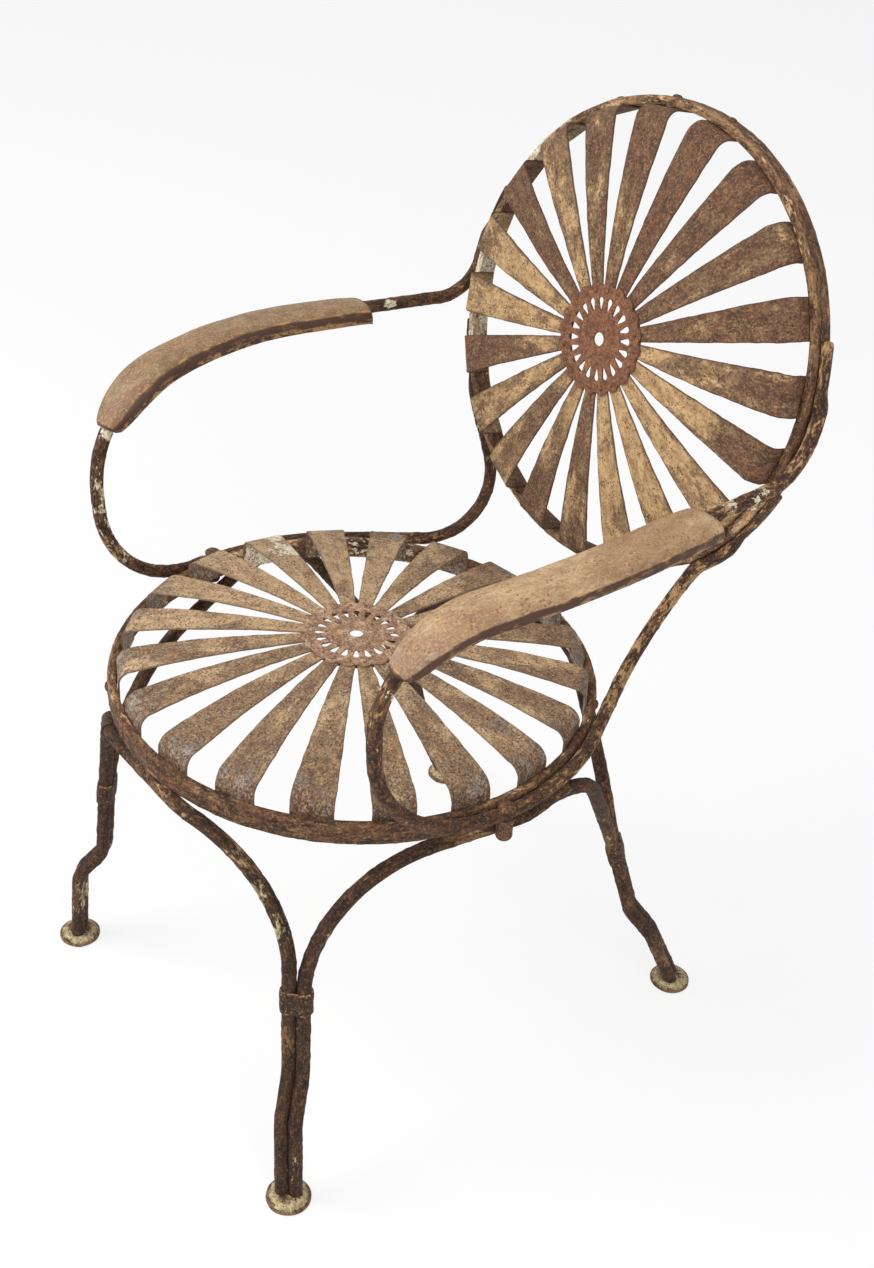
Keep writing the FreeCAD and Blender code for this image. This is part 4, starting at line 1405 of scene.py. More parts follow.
@dataclass
class Arm:
    """One arm: the long bar from the back ring round to the back ring again, its pad and its bolt."""

    side: Side
    frame: Frame
    top_angle: float = 21.0
    elbow_drop: float = 37.0
    elbow_radius: float = 44.0
    middle: Place = (28.0, -201.0, 234.0)
    middle_radius: float = 400.0
    front_top: Place = (-9.0, -75.0, 211.0)
    front_top_radius: float = 95.0
    front_low: float = -86.0
    front_low_radius: float = 110.0
    seat_angles: tuple[float, float] = (-7.0, 32.0)
    rear_turn: float = 172.0
    rear_radius: float = 70.0
    low_angle: float = -44.0
    low_lead: float = 8.0
    low_radius: float = 49.0
    end_angle: float = -16.0
    pad_rear: float = -55.0
    pad_width: float = 46.0
    pad_tip_width: float = 18.0
    pad_depth: float = 15.0
    pad_thickness: float = 2.0
    pad_clearance: float = 0.5
    pad_front_share: float = 0.58
    pad_taper: float = 62.0
    pad_rear_round: float = 7.0
    pad_rear_start: float = 0.6
    pad_rear_width: float = 0.84
    pad_rear_narrows: tuple[float, float] = (0.07, 45.0)
    pad_rear_drop: float = 2.4
    pad_rear_falls: tuple[float, float] = (1.2, 26.0)
    pad_front_depth: float = 0.75
    pad_steps: int = 24
    pad_powers: tuple[float, float] = (0.78, 0.74)
    pad_dents: Waves = ((34.0, 0.45, 0.0), (11.0, 0.12, 1.0))
    bolt_angle: float = -2.6
    bolt_out: float = 1.0
    head_diameter: float = 15.0
    head_height: float = 4.0
    head_sunk: float = 0.4
    nut_diameter: float = 14.4
    nut_height: float = 20.0
    nut_waves: Waves = ((7.0, 0.06, 0.0), (3.0, 0.03, 0.0))
    end_flats: tuple[tuple[float, float], ...] = ((17.0, 42.0), (-23.0, 48.0))
    end_thinning: float = 0.5
    bolt_flat: tuple[float, float] = (2.4, 34.0)
    bolt_thinning: float = 0.22
    flakes: tuple[Spot, ...] = ()
    bar_tones: tuple[float, float] = (0.3, 0.3)
    bar_patches: Waves = ((80.0, 0.4, 0.0),)
    pad_tone: float = 0.3

    @property
    def seed(self) -> float:
        """The side's own seed."""
        return 11.0 + 5.0 * self.side.value

    def build(self) -> None:
        """Makes the bar and the pad."""
        draft = Draft()
        draw_bar(draft, [self.side.across(p) for p in bent_route(*self.bends())], self.frame.bar_radius,
                 self.seed, self.worn, self.flats())
        Workshop.fit(draft, "arm_bar_" + self.side.label, BAR_FINISH, "round_bar", self.seed)
        self.build_pad()

    def worn(self, point: Vector) -> Wear:
        """How the bar is worn, with its own tone in front and behind.

        Args:
            point: a point of the bar.

        Returns:
            The wear there.
        """
        front, behind = self.bar_tones
        kept = front + (behind - front) * ease(-60.0, 130.0, point.y)
        tone = kept + uneven(point, self.bar_patches, self.seed)
        return Wear(tone=tone, flake=near_spots(point, self.flakes))

    def flats(self) -> list[Hammered]:
        """Where the bar is hammered flat: its ends on the back ring and the place of the bolt.

        Returns:
            The flats on the arm's own side.
        """
        frame = self.frame
        made = []
        for angle, reach in self.end_flats:
            out = on_circle(1, angle)
            at = frame.back.place(out * frame.beside_back)
            made.append((at, reach, frame.back.axes @ out, self.end_thinning))
        angle, reach = self.bolt_flat
        at = self.on_seat_ring(on_circle(frame.beside_seat, angle))
        made.append((at, reach, Vector((0, 0, 1)), self.bolt_thinning))
        return [Hammered(self.side.across(at), reach, self.side.across(out), thin)
                for at, reach, out, thin in made]

    def on_seat_ring(self, point: Vector) -> Vector:
        """A point beside the seat ring at the bar's height."""
        return point + Vector((0.0, 0.0, self.frame.seat_z + self.frame.arm_lift))

    def bends(self) -> tuple[Vector, list[Corner], Vector]:
        """The bar's line as the left side has it.

        Returns:
            Its start, its bends and its end.
        """
        frame = self.frame
        back, seat = frame.beside_back, frame.beside_seat
        to_back = frame.back.place
        start_angle, leave_angle = self.seat_angles
        lead = on_circle(1, start_angle + 90)
        touch = on_circle(seat, start_angle)
        forward = frame.at(End.FRONT, 0, self.front_low, 0).y - touch.y
        leave = on_circle(seat, leave_angle)
        bends = [
            (to_back(tangents_meet(back, self.top_angle, 0)), back),
            (to_back(Vector((back, -self.elbow_drop, 0))), self.elbow_radius),
            (frame.of_ring(End.REAR, self.middle), self.middle_radius),
            (frame.of_ring(End.FRONT, self.front_top), self.front_top_radius),
            (self.on_seat_ring(touch + lead * (forward / lead.y)), self.front_low_radius),
            (self.on_seat_ring(tangents_meet(seat, start_angle, leave_angle)), seat),
            (self.on_seat_ring(leave + on_circle(self.rear_turn, leave_angle + 90)), self.rear_radius),
            (to_back(on_circle(back, self.low_angle) - on_circle(self.low_lead, self.low_angle + 90)),
             self.low_radius),
            (to_back(tangents_meet(back, self.low_angle, self.end_angle)), back)]
        return to_back(on_circle(back, self.top_angle)), bends, to_back(on_circle(back, self.end_angle))

    def pad_route(self) -> list[Vector]:
        """Middle line of the stretch of bar under the pad.

        Returns:
            Points along it, from the pad's rear.
        """
        _, bends, _ = self.bends()
        (elbow, _), (middle, _), (front, radius), (low, _) = bends[1:5]
        ahead = (middle - elbow).normalized()
        start = elbow + ahead * ((self.frame.at(End.REAR, 0, self.pad_rear, 0).y - elbow.y) / ahead.y)
        line = bent_route(start, [(middle, self.middle_radius), (front, radius)], low, 2.6)
        back, on = (middle - front).normalized(), (low - front).normalized()
        turn = math.pi - back.angle(on)
        centre = front + (back + on).normalized() * (radius / math.cos(turn / 2))
        enter = front + back * (radius * math.tan(turn / 2))
        limit = turn * self.pad_front_share
        kept = [p for p in line if (p - enter).dot(-back) < 0 or (p - centre).angle(enter - centre) < limit]
        return kept

    def pad_shape(self, station: Station) -> tuple[float, float, float]:
        """Size of the pad's section at one station.

        Args:
            station: the station.

        Returns:
            Its width, how far its edges hang below its crown, and how far the whole section is lowered.
        """
        front = quarter_round(station.to_front / self.pad_taper)
        rear = quarter_round((station.to_rear + self.pad_rear_start) / self.pad_rear_round)
        narrowing, narrow_reach = self.pad_rear_narrows
        falling, fall_reach = self.pad_rear_falls
        width = self.pad_tip_width + (self.pad_width - self.pad_tip_width) * front
        width *= self.pad_rear_width + (1 - self.pad_rear_width) * rear
        width *= 1 - narrowing * (1 - ease(0.0, narrow_reach, station.to_rear))
        drop = self.pad_rear_drop * (1 - rear) + falling * (1 - ease(0.0, fall_reach, station.to_rear))
        depth = self.pad_depth * (self.pad_front_depth + (1 - self.pad_front_depth) * front)
        return width, depth, drop

    def pad_section(self, station: Station) -> Sheets:
        """The pad's outer and inner outline at one station.

        Args:
            station: the station.

        Returns:
            Outer and inner points, from one edge to the other.
        """
        width, depth, drop = self.pad_shape(station)
        out_power, down_power = self.pad_powers
        side = station.heading.cross(Vector((0.0, 0.0, 1.0))).normalized()
        lift = side.cross(station.heading)
        crown = self.frame.bar_radius + self.pad_clearance + self.pad_thickness - drop
        outer, inner = [], []
        for k in range(self.pad_steps + 1):
            a = math.pi * k / self.pad_steps
            for inset, points in ((0.0, outer), (self.pad_thickness, inner)):
                fall = depth * (1 - max(math.sin(a), 0.0) ** down_power)
                across = (width / 2 - inset) * math.copysign(abs(math.cos(a)) ** out_power, math.cos(a))
                level = crown - inset - fall * (depth - inset) / depth
                point = station.at + side * across + lift * level
                points.append(point + lift * uneven(point, self.pad_dents, self.seed))
        return outer, inner

    def pad_loop(self, draft: Draft, station: Station) -> list[int]:
        """Adds the points round the pad's section at one station.

        Args:
            draft: the mesh to draw in.
            station: the station.

        Returns:
            The points' numbers all the way round.
        """
        at, _, to_front, to_rear = station
        bare = max(ease(6.0, -3.0, to_front), ease(3.0, -2.0, to_rear))
        rows = []
        for sheet, hidden in zip(self.pad_section(station), (0.0, 1.0)):
            row = []
            for j, point in enumerate(sheet):
                inward = 1 - 2 * j / self.pad_steps
                edge = max(ease(0.36, 0.92, inward), ease(0.6, 1.0, -inward), bare, hidden)
                placed = self.side.across(point)
                wear = Wear(edge, ease(110.0, 10.0, to_front), self.pad_tone,
                            near_spots(placed, self.flakes) * edge)
                row.append(draft.add(placed, wear, Vector((to_rear, point.x - at.x, point.z - at.z))))
            rows.append(row)
        loop = rows[0] + rows[1][::-1]
        return loop[::-1] if self.side is Side.LEFT else loop

    def build_pad(self) -> None:
        """The pressed sheet-steel pad over the bar."""
        route = self.pad_route()
        total = sum((b - a).length for a, b in zip(route, route[1:]))
        draft, loops, run = Draft(), [], 0.0
        for k, (at, heading) in enumerate(zip(route, headings(route))):
            if k:
                run += (at - route[k - 1]).length
            loops.append(self.pad_loop(draft, Station(at, heading, total - run, run)))
        draft.loft(loops)
        for loop, first in ((loops[0], True), (loops[-1], False)):
            for j in range(self.pad_steps):
                quad = (loop[j], loop[j + 1], loop[-j - 2], loop[-j - 1])
                draft.faces.append(quad[::-1] if first else quad)
        Workshop.fit(draft, "arm_pad_" + self.side.label, PAD_FINISH, "arm_pad", self.seed)

    def draw_bolt(self, draft: Draft) -> None:
        """Draws the bolt through the arm bar: a round head above, a long round nut below.

        Args:
            draft: the mesh to draw in.
        """
        frame, up = self.frame, Vector((0, 0, 1))
        at = self.side.across(on_circle(frame.beside_seat + self.bolt_out, self.bolt_angle))
        top = frame.seat_z + frame.arm_lift + frame.bar_radius
        draw_dome(draft, at + up * (top - self.head_sunk), up, self.head_diameter / 2, self.head_height,
                  self.seed, BOLT_WEAR, 20)
        radius, under, inside = self.nut_diameter / 2, top - frame.bar_diameter, 1.5
        rows = []
        for share, level in NUT_PROFILE:
            height = level * self.nut_height if level < 0 else level * inside
            row = []
            for k in range(24):
                out = on_circle(share * radius, 15.0 * k)
                base = at + out + up * (under + height)
                row.append(draft.add(base + out * uneven(base, self.nut_waves, self.seed), BOLT_WEAR))
            rows.append(row[::-1])
        draft.loft(rows)
        draft.cap(rows[0], draft.add(at + up * (under + inside), BOLT_WEAR), False)
        draft.cap(rows[-1], draft.add(at + up * (under - self.nut_height), BOLT_WEAR), True)


@dataclass(frozen=True)
class LegLine:
    """A leg's middle line: its foot, its two kinks and the radius of its turn towards the ring."""

    foot: tuple[float, float]
    kinks: tuple[Place, ...]
    turn_radius: float


@dataclass
class Legs:
    """Four bars bent as arches, two side by side in each leg, with their collars and feet."""

    frame: Frame
    front: LegLine = LegLine((-22.0, -26.0), ((-29.0, -28.0, 93.0), (-47.0, -47.0, 128.0)), 140.0)
    front_shoulder: Place = (-65.0, -55.0, -44.0)
    side_shoulder: Place = (-65.0, -55.0, -54.0)
    rear: LegLine = LegLine((-15.0, 65.0), ((-20.0, 23.0, 91.0), (-32.0, -2.0, 130.0)), 110.0)
    rear_top: Place = (-43.0, -37.0, -150.0)
    right_rear_shift: Place = (-12.0, 9.0, 0.0)
    rear_shoulder: Place = (-58.0, -45.0, -86.0)
    side_rear_shoulder: Place = (1.0, -129.0, -10.0)
    side_rear_radius: float = 60.0
    slip: Place = (5.0, 4.0, 8.5)
    meet_angle: float = 12.0
    meet_radius: float = 40.0
    bar_offset: float = 6.3
    kink_radius: float = 28.0
    arch_radius: float = 60.0
    arch_half: float = 60.0
    collar_height: float = 24.0
    collar_thickness: float = 2.0
    collar_clearance: float = 0.5
    collar_z: float = 212.0
    foot_diameter: float = 41.0
    foot_height: float = 8.0
    foot_rim: float = 3.0
    foot_land: float = 27.0
    foot_steps: int = 48
    foot_waves: Waves = ((9.0, 0.5, 0.0), (4.0, 0.2, 0.0))
    foot_swelling: Waves = ((8.0, 0.35, 2.0),)
    collar_steps: int = 64
    collar_waves: Waves = ((8.0, 0.45, 0.0), (3.5, 0.2, 1.0))
    collar_tilt: Waves = ((14.0, 0.8, 2.0),)
    collar_waist: float = 0.9
    waist_reach: float = 0.28
    collar_square: float = 1.9
    collar_hug: float = 0.3
    rust_growth: float = 0.4
    weld: float = 0.5
    tone: float = 0.3
    patches: Waves = ((60.0, 0.6, 10.0),)
    foot_patches: Waves = ((20.0, 0.4, 0.0),)
    seed: float = 21.0
    collar_seed: float = 41.0
    foot_seed: float = 51.0
    flakes: tuple[Spot, ...] = ()

    def build(self) -> None:
        """Makes the arches, the collars and the feet."""
        front = self.front_half()
        routes = {"front": self.across_route(front, front),
                  "rear": self.across_route(self.rear_half(Side.LEFT), self.rear_half(Side.RIGHT))}
        for side in Side:
            routes[side.label] = [side.across(point) for point in self.side_route(side)]
        for number, (word, route) in enumerate(routes.items()):
            draft = Draft()
            seed = self.seed + 3.0 * number
            draw_bar(draft, route, self.frame.bar_radius + self.rust_growth, seed, self.worn, rounded=False)
            Workshop.fit(draft, "leg_arch_" + word, LEG_FINISH, "round_bar", seed)
        self.build_collars()
        self.build_feet()

    def worn(self, point: Vector) -> Wear:
        """How a leg is worn.

        Args:
            point: a point of the leg.

        Returns:
            The wear there.
        """
        tone = self.tone + uneven(point, self.patches, self.seed)
        return Wear(tone=tone, flake=near_spots(point, self.flakes))

    def shift(self, side: Side) -> Vector:
        """How far a side's rear leg stands off the left one, as the left side has it."""
        return Vector(self.right_rear_shift) if side is Side.RIGHT else Vector()

    def bar(self, end: End, top: Place, beside: Vector, side: Side = Side.LEFT) -> Half:
        """One bar of a leg, as on the left side.

        Args:
            end: the chair's end.
            top: the place where it turns towards the ring.
            beside: which way the bar stands off the leg's middle.
            side: the chair's side.

        Returns:
            Its foot and its bends up to the top.
        """
        line = self.front if end is End.FRONT else self.rear
        offset = beside.normalized() * self.bar_offset
        if end is End.REAR:
            offset += self.shift(side)
        foot = self.frame.at(end, *line.foot, self.foot_height - self.weld)
        kinks = [(self.frame.at(end, *kink) + offset, self.kink_radius) for kink in line.kinks]
        return foot + offset, kinks + [(self.frame.of_ring(end, top) + offset, line.turn_radius)]

    def arch_top(self, end: End) -> Corner:
        """Where an arch across the chair turns to run under the ring.

        Args:
            end: the chair's end.

        Returns:
            The bend on the left side.
        """
        seat = self.frame.seat
        beyond = seat.ring_diameter / 2 - seat.ring_thickness / 2
        height = seat.centre.z - seat.ring_height / 2 - self.frame.bar_radius - self.frame.clearance
        return Vector((self.arch_half, end.value * beyond, height)), self.arch_radius

    def front_half(self) -> Half:
        """The front arch's left half.

        Returns:
            Its foot and its bends.
        """
        foot, bends = self.bar(End.FRONT, self.front_shoulder, Vector((-1, -1, 0)))
        return foot, bends + [self.arch_top(End.FRONT)]

    def rear_half(self, side: Side) -> Half:
        """One half of the rear arch, as on the left side.

        Args:
            side: the chair's side.

        Returns:
            Its foot and its bends.
        """
        foot, bends = self.bar(End.REAR, self.rear_top, Vector((-1, 1, 0)), side)
        shoulder = self.frame.of_ring(End.REAR, self.rear_shoulder) + self.shift(side)
        return foot, bends + [(shoulder, self.rear.turn_radius), self.arch_top(End.REAR)]

    @staticmethod
    def across_route(left: Half, right: Half) -> list[Vector]:
        """Middle line of an arch across the chair, from its two halves as on the left side."""
        other = [(Side.RIGHT.across(corner), radius) for corner, radius in reversed(right[1])]
        return bent_route(left[0], left[1] + other, Side.RIGHT.across(right[0]))

    def side_route(self, side: Side) -> list[Vector]:
        """Middle line of a side arch, as on the left side.

        Args:
            side: the chair's side.

        Returns:
            Points from its front foot to its rear foot.
        """
        frame = self.frame
        foot, bends = self.bar(End.FRONT, self.side_shoulder, Vector((1, 1, 0)))
        end, behind = self.bar(End.REAR, self.rear_top, Vector((1, -1, 0)), side)
        up = Vector((0, 0, frame.seat_z + frame.arm_lift - frame.bar_diameter - frame.clearance))
        slip_angle, slip_in, slip_below = self.slip
        slip = on_circle(frame.beside_seat - slip_in, slip_angle) + up - Vector((0, 0, slip_below))
        bends += [(slip, self.arch_radius),
                  (on_circle(frame.beside_seat, self.meet_angle) + up, self.meet_radius),
                  (frame.of_ring(End.REAR, self.side_rear_shoulder), self.side_rear_radius)]
        return bent_route(foot, bends + behind[::-1], end)

    def build_collars(self) -> None:
        """The bands that bind the two bars of each leg."""
        frame = self.frame
        lines = [(End.FRONT, self.front, self.front_shoulder, Vector((1, 1, 0))),
                 (End.REAR, self.rear, self.rear_top, Vector((1, -1, 0)))]
        draft = Draft()
        for number, (end, line, top, beside) in enumerate(lines):
            low = frame.at(end, *line.kinks[1])
            along = (frame.of_ring(end, top) - low).normalized()
            middle = low + along * ((self.collar_z - low.z) / along.z)
            for side in Side:
                at = middle + self.shift(side) * number
                seed = self.collar_seed + number * 2 + side.value
                self.draw_collar(draft, side, at, along, beside, seed)
        Workshop.fit(draft, "leg_collars", COLLAR_FINISH, "collar", 5.0)

    def draw_collar(self, draft: Draft, side: Side, middle: Vector, along: Vector, beside: Vector,
                    seed: float) -> None:
        """Draws one collar, hammered in a little between the two bars.

        Args:
            draft: the mesh to draw in.
            side: the chair's side.
            middle: the collar's middle as the left side has it.
            along: the leg's direction.
            beside: direction from one bar to the other.
            seed: shifts how uneven it is.
        """
        cross = along.cross(beside).normalized()
        across = cross.cross(along).normalized()
        inner = self.frame.bar_radius + self.collar_clearance - self.collar_hug
        half = self.collar_height / 2
        section = [(0.0, half - 1.2), (0.5, half - 0.2), (1.2, half), (self.collar_thickness, half - 0.9)]
        section += [(self.collar_thickness + 0.25, (half - 0.9) * k / 3) for k in (2, 1, 0, -1, -2)]
        section += [(grow, -level) for grow, level in reversed(section[:4])] + [(0.0, 0.0)]
        rows = []
        for k in range(self.collar_steps):
            a = 2 * math.pi * k / self.collar_steps
            out = across * math.cos(a) + cross * math.sin(a)
            flank = self.bar_offset * max(-1.0, min(1.0, self.collar_square * math.cos(a)))
            waist = self.collar_waist * math.exp(-(math.cos(a) / self.waist_reach) ** 2)
            row = []
            for grow, level in section:
                base = middle + across * flank + out * (inner + grow - waist) + along * level
                rough = uneven(base, self.collar_waves, seed) * (0.2 if grow <= 0.5 else 1.0)
                high = abs(level) / half
                point = base + out * rough + along * (uneven(base, self.collar_tilt, seed) * high)
                row.append(draft.add(side.across(point), Wear(ease(0.8, 1.0, high), 1.0, 0.4)))
            rows.append(row if side is Side.RIGHT else row[::-1])
        draft.loft(rows, closed=True)

    def foot_profile(self) -> list[tuple[float, float]]:
        """Half the section of a foot.

        Returns:
            (radius, height) points from below up to the middle.
        """
        outer, land, rim, top = self.foot_diameter / 2, self.foot_land / 2, self.foot_rim, self.foot_height
        return [(outer - 2.5, 0.0), (outer - 0.6, 0.0), (outer, 0.7), (outer, rim - 0.8), (outer - 0.7, rim),
                (outer - 3.2, rim + 1.6), (land + 1.2, top - 0.7), (land - 1.0, top), (land - 4.5, top),
                (land - 8.0, top)]

    def build_feet(self) -> None:
        """Four low domed discs, welded to the bars."""
        draft = Draft()
        for number, (end, line) in enumerate(((End.FRONT, self.front), (End.REAR, self.rear))):
            spot = self.frame.at(end, *line.foot, 0)
            for side in Side:
                at = side.across(spot + self.shift(side) * number)
                self.draw_foot(draft, at, self.foot_seed + number * 3 + side.value)
        Workshop.fit(draft, "feet", FOOT_FINISH, "foot", 6.0)

    def draw_foot(self, draft: Draft, at: Vector, seed: float) -> None:
        """Draws one foot.

        Args:
            draft: the mesh to draw in.
            at: the middle of its underside.
            seed: shifts how uneven it is.
        """
        outer, land = self.foot_diameter / 2, self.foot_land / 2
        rows = []
        for radius, height in self.foot_profile():
            edge = max(ease(4.0, 0.0, height), 0.75 * ease(outer - 4.5, outer - 1.0, radius))
            row = []
            for k in range(self.foot_steps):
                out = on_circle(1, 360 / self.foot_steps * k)
                base = at + out * radius
                rough = uneven(base, self.foot_waves, seed) * ease(outer * 0.5, outer, radius)
                lift = height + uneven(base, self.foot_swelling, seed) * ease(0.5, 3.0, height)
                tone = 0.5 + uneven(base, self.foot_patches, seed)
                wear = Wear(edge, ease(1.15 * land, 0.7 * land, radius), tone)
                row.append(draft.add(base + out * rough + Vector((0, 0, lift)), wear))
            rows.append(row)
        draft.loft(rows)
        draft.cap(rows[0], draft.add(at), False)
        draft.cap(rows[-1], draft.add(at + Vector((0, 0, self.foot_height)), Wear(0.0, 1.0)), True)


# The studio


@dataclass(frozen=True)
class Studio:
    """Plain pale floor, soft light and the camera at the photograph's viewing angle."""

    azimuth: float = 49.1
    elevation: float = 34.8
    roll: float = 5.1
    stand: Place = (928.2, -710.1, 1247.0)
    focal_to_long_side: float = 1610.6 / 1268
    sensor: float = 36.0
    floor_colour: Colour = (0.93, 0.93, 0.93, 1.0)
    sky_strength: float = 0.45
    floor_radius: float = 9.0
    floor_steps: int = 64
    lamps: tuple[tuple[str, Place, float, float], ...] = (("key_lamp", (-1.6, -2.6, 3.2), 2.4, 130.0),
                                                          ("fill_lamp", (2.6, -1.0, 2.4), 2.0, 45.0))
    aim: Place = (0.0, 0.0, 0.45)

    def build(self) -> None:
        """Makes the floor, the light and the camera."""
        self.lay_floor()
        self.light_sky()
        for lamp in self.lamps:
            self.hang_lamp(*lamp)
        self.place_camera()

    def lay_floor(self) -> None:
        """A wide pale floor that is nearly white to the camera and keeps the soft shadow."""
        mesh = bpy.data.meshes.new("floor")
        steps = self.floor_steps
        ring = [on_circle(self.floor_radius, 360 / steps * k) - Vector((0, 0, 0.0005)) for k in range(steps)]
        mesh.from_pydata(ring, [], [tuple(range(steps))])
        graph = Graph(bpy.data.materials.new("pale_floor"))
        matt = graph.node("ShaderNodeBsdfPrincipled", None,
                          {"Base Color": self.floor_colour, "Roughness": 0.9})
        glow = graph.node("ShaderNodeEmission", None, {"Color": (1, 1, 1, 1), "Strength": 1.0})
        sockets = {0: graph.seen() * 0.8, 1: matt.outputs[0], 2: glow.outputs[0]}
        both = graph.node("ShaderNodeMixShader", None, sockets)
        mesh.materials.append(graph.close(both.outputs[0]))
        floor = bpy.data.objects.new("floor", mesh)
        bpy.context.scene.collection.objects.link(floor)

    def light_sky(self) -> None:
        """Even light from all round, white where the camera sees it."""
        graph = Graph(bpy.data.worlds.new("studio_sky"))
        strength = graph.seen() * (1 - self.sky_strength) + self.sky_strength
        sky = graph.node("ShaderNodeBackground", None, {"Color": (1, 1, 1, 1), "Strength": strength})
        bpy.context.scene.world = graph.close(sky.outputs[0])

    def hang_lamp(self, name: str, place: Place, size: float, power: float) -> None:
        """A large soft lamp that faces the chair.

        Args:
            name: its name.
            place: where it hangs, in metres.
            size: its diameter in metres.
            power: its power in watts.
        """
        lamp = bpy.data.lights.new(name, "AREA")
        lamp.shape = "DISK"
        lamp.size = size
        lamp.energy = power
        holder = bpy.data.objects.new(name, lamp)
        holder.location = place
        holder.rotation_euler = (Vector(self.aim) - Vector(place)).to_track_quat("-Z", "Y").to_euler()
        bpy.context.scene.collection.objects.link(holder)

    def place_camera(self) -> None:
        """The camera, from where the photograph was taken."""
        a, e, r = (math.radians(x) for x in (self.azimuth, self.elevation, self.roll))
        back = Vector((math.sin(a) * math.cos(e), -math.cos(a) * math.cos(e), math.sin(e)))
        level = Vector((math.cos(a), math.sin(a), 0.0))
        upright = back.cross(level)
        right = level * math.cos(r) + upright * math.sin(r)
        up = upright * math.cos(r) - level * math.sin(r)
        camera = bpy.data.cameras.new("photo_camera")
        camera.sensor_width = self.sensor
        camera.lens = self.sensor * self.focal_to_long_side
        holder = bpy.data.objects.new("photo_camera", camera)
        turn = Matrix((right, up, back)).transposed().to_4x4()
        holder.matrix_world = Matrix.Translation(Workshop.placed(Vector(self.stand))) @ turn
        bpy.context.scene.collection.objects.link(holder)
        bpy.context.scene.camera = holder


SEAT_TONES = ((0.4, 0.3), (0.45, 0.4), (0.5, 0.4), (0.5, 0.4), (0.6, 0.4), (0.5, 0.35), (0.55, 0.45),
              (0.7, 0.6), (0.85, 0.8), (0.85, 0.8), (0.85, 0.8), (0.8, 0.75), (0.75, 0.7), (0.6, 0.5),
              (0.5, 0.25), (0.45, 0.15), (0.4, 0.15), (0.5, 0.2), (0.5, 0.2), (0.55, 0.2))
BACK_TONES = ((0.68, 0.3), (0.3, 0.3), (0.45, 0.35), (0.25, 0.2), (0.12, 0.12), (0.38, 0.2), (0.45, 0.3),
              (0.6, 0.5), (0.3, 0.2), (0.75, 0.6), (0.6, 0.7), (0.5, 0.15), (0.6, 0.6), (0.5, 0.5),
              (0.62, 0.25), (0.55, 0.35), (0.8, 0.6), (0.85, 0.6), (0.75, 0.6), (0.85, 0.25))
SEAT_RING_FLAKES = (((-207, 36, 396), 60.0, 0.55), ((-158, 139, 395), 70.0, 0.6), ((60, 210, 390), 60.0, 0.4))
SEAT_STRIP_FLAKES = (((-196, 40, 392), 46.0, 1.0), ((-160, 33, 406), 40.0, 0.85))
BACK_RING_FLAKES = (((-184, 317, 745), 60.0, 0.8), ((-208, 305, 654), 70.0, 0.85),
                    ((-188, 288, 571), 55.0, 0.75), ((187, 283, 551), 44.0, 0.42),
                    ((153, 269, 504), 36.0, 0.4))
BACK_STRIP_FLAKES = (((150, 320, 760), 40.0, 0.8), ((178, 314, 720), 36.0, 0.75),
                     ((186, 300, 655), 34.0, 0.7), ((60, 330, 810), 40.0, 0.55))
SEAT_CRUSTS = (((172, -132, 398), 22.0, 0.6), ((136, -168, 398), 20.0, 0.5), ((66, -206, 398), 20.0, 0.45),
               ((-20, -216, 397), 18.0, 0.4), ((202, -80, 396), 18.0, 0.4))
BACK_CRUSTS = (((196, 292, 585), 34.0, 0.7), ((172, 280, 535), 42.0, 1.0), ((148, 272, 500), 28.0, 0.7))
LEFT_ARM_FLAKES = (((222, 226, 606), 24.0, 0.6), ((222, 190, 611), 18.0, 0.7),
                   ((134, 254, 439), 50.0, 0.16), ((210, -125, 552), 16.0, 0.8))
RIGHT_ARM_FLAKES = (((-215, -135, 497), 80.0, 0.5), ((-205, -128, 450), 50.0, 0.45),
                    ((-222, 189, 617), 12.0, 0.75), ((-207, -123, 569), 18.0, 0.9),
                    ((-188, -98, 566), 40.0, 0.85), ((-148, 256, 484), 60.0, 0.4))
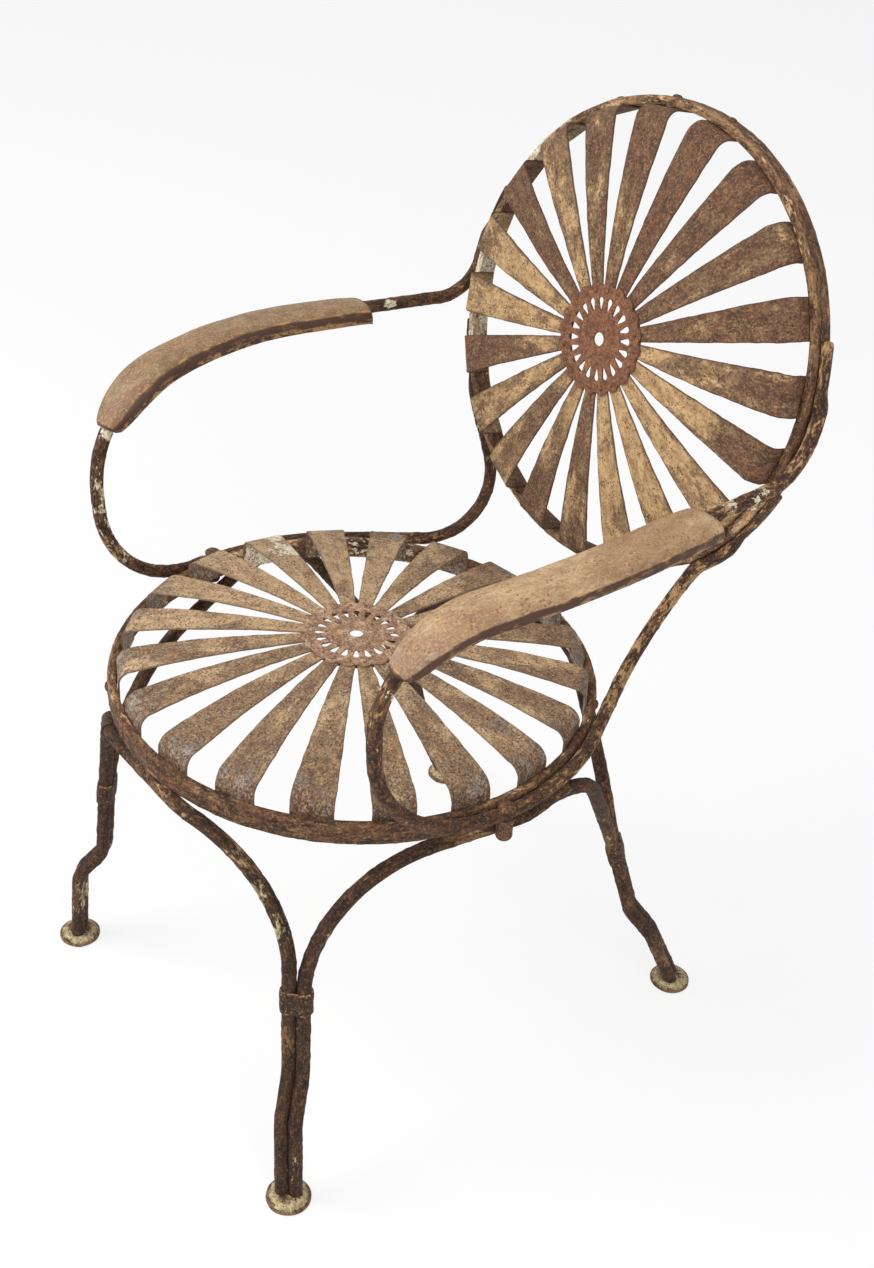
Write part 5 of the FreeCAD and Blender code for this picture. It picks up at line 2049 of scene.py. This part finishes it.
LEG_FLAKES = (((108, -190, 343), 26.0, 0.34), ((129, -184, 314), 26.0, 0.5), ((142, -178, 291), 28.0, 0.55),
              ((-190, -186, 70), 60.0, 0.42), ((190, 190, 187), 40.0, 0.35), ((196, -188, 40), 40.0, 0.35))


def main() -> None:
    """Builds the chair's sub-assemblies in order and then the studio."""
    logging.basicConfig(level=logging.INFO, format="%(name)s: %(message)s")
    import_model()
    Workshop.open()
    seat = SpringPanel(
        name="seat", ring_diameter=436.0, rise=42.0, centre=Vector((0, 0, 386.0)), recline=0.0,
        strip_finish=SEAT_STRIP_FINISH, rosette_finish=SEAT_ROSETTE_FINISH, tones=SEAT_TONES,
        covered=((-11.0, 36.0),), seed=1.3, ring_flakes=SEAT_RING_FLAKES, strip_flakes=SEAT_STRIP_FLAKES,
        crusts=SEAT_CRUSTS)
    behind = Vector((0, seat.ring_diameter / 2 + 76.0, seat.centre.z + 260.0))
    back = SpringPanel(
        name="back", ring_diameter=420.0, rise=41.0, centre=behind, recline=12.0,
        strip_finish=BACK_STRIP_FINISH, rosette_finish=BACK_ROSETTE_FINISH, tones=BACK_TONES,
        covered=((0.0, 25.0), (-48.0, -12.0)), seed=3.7, fan_turn=-1.0, ring_tone=0.6,
        ring_flakes=BACK_RING_FLAKES, strip_flakes=BACK_STRIP_FLAKES, crusts=BACK_CRUSTS,
        first_angle=-30.0)
    frame = Frame(seat, back)
    for panel in (seat, back):
        panel.build()
    Legs(frame, flakes=LEG_FLAKES).build()
    bolts = Draft()
    left = Arm(Side.LEFT, frame, flakes=LEFT_ARM_FLAKES, bar_tones=(0.28, 0.55), pad_tone=0.2)
    right = Arm(Side.RIGHT, frame, flakes=RIGHT_ARM_FLAKES, pad_tone=1.05)
    for arm in (left, right):
        arm.build()
        arm.draw_bolt(bolts)
    Workshop.fit(bolts, "arm_bolts", RIVET_FINISH, "bolt", 8.0)
    Studio().build()
    bpy.context.scene.view_settings.view_transform = "Standard"


if __name__ == "__main__":
    main()
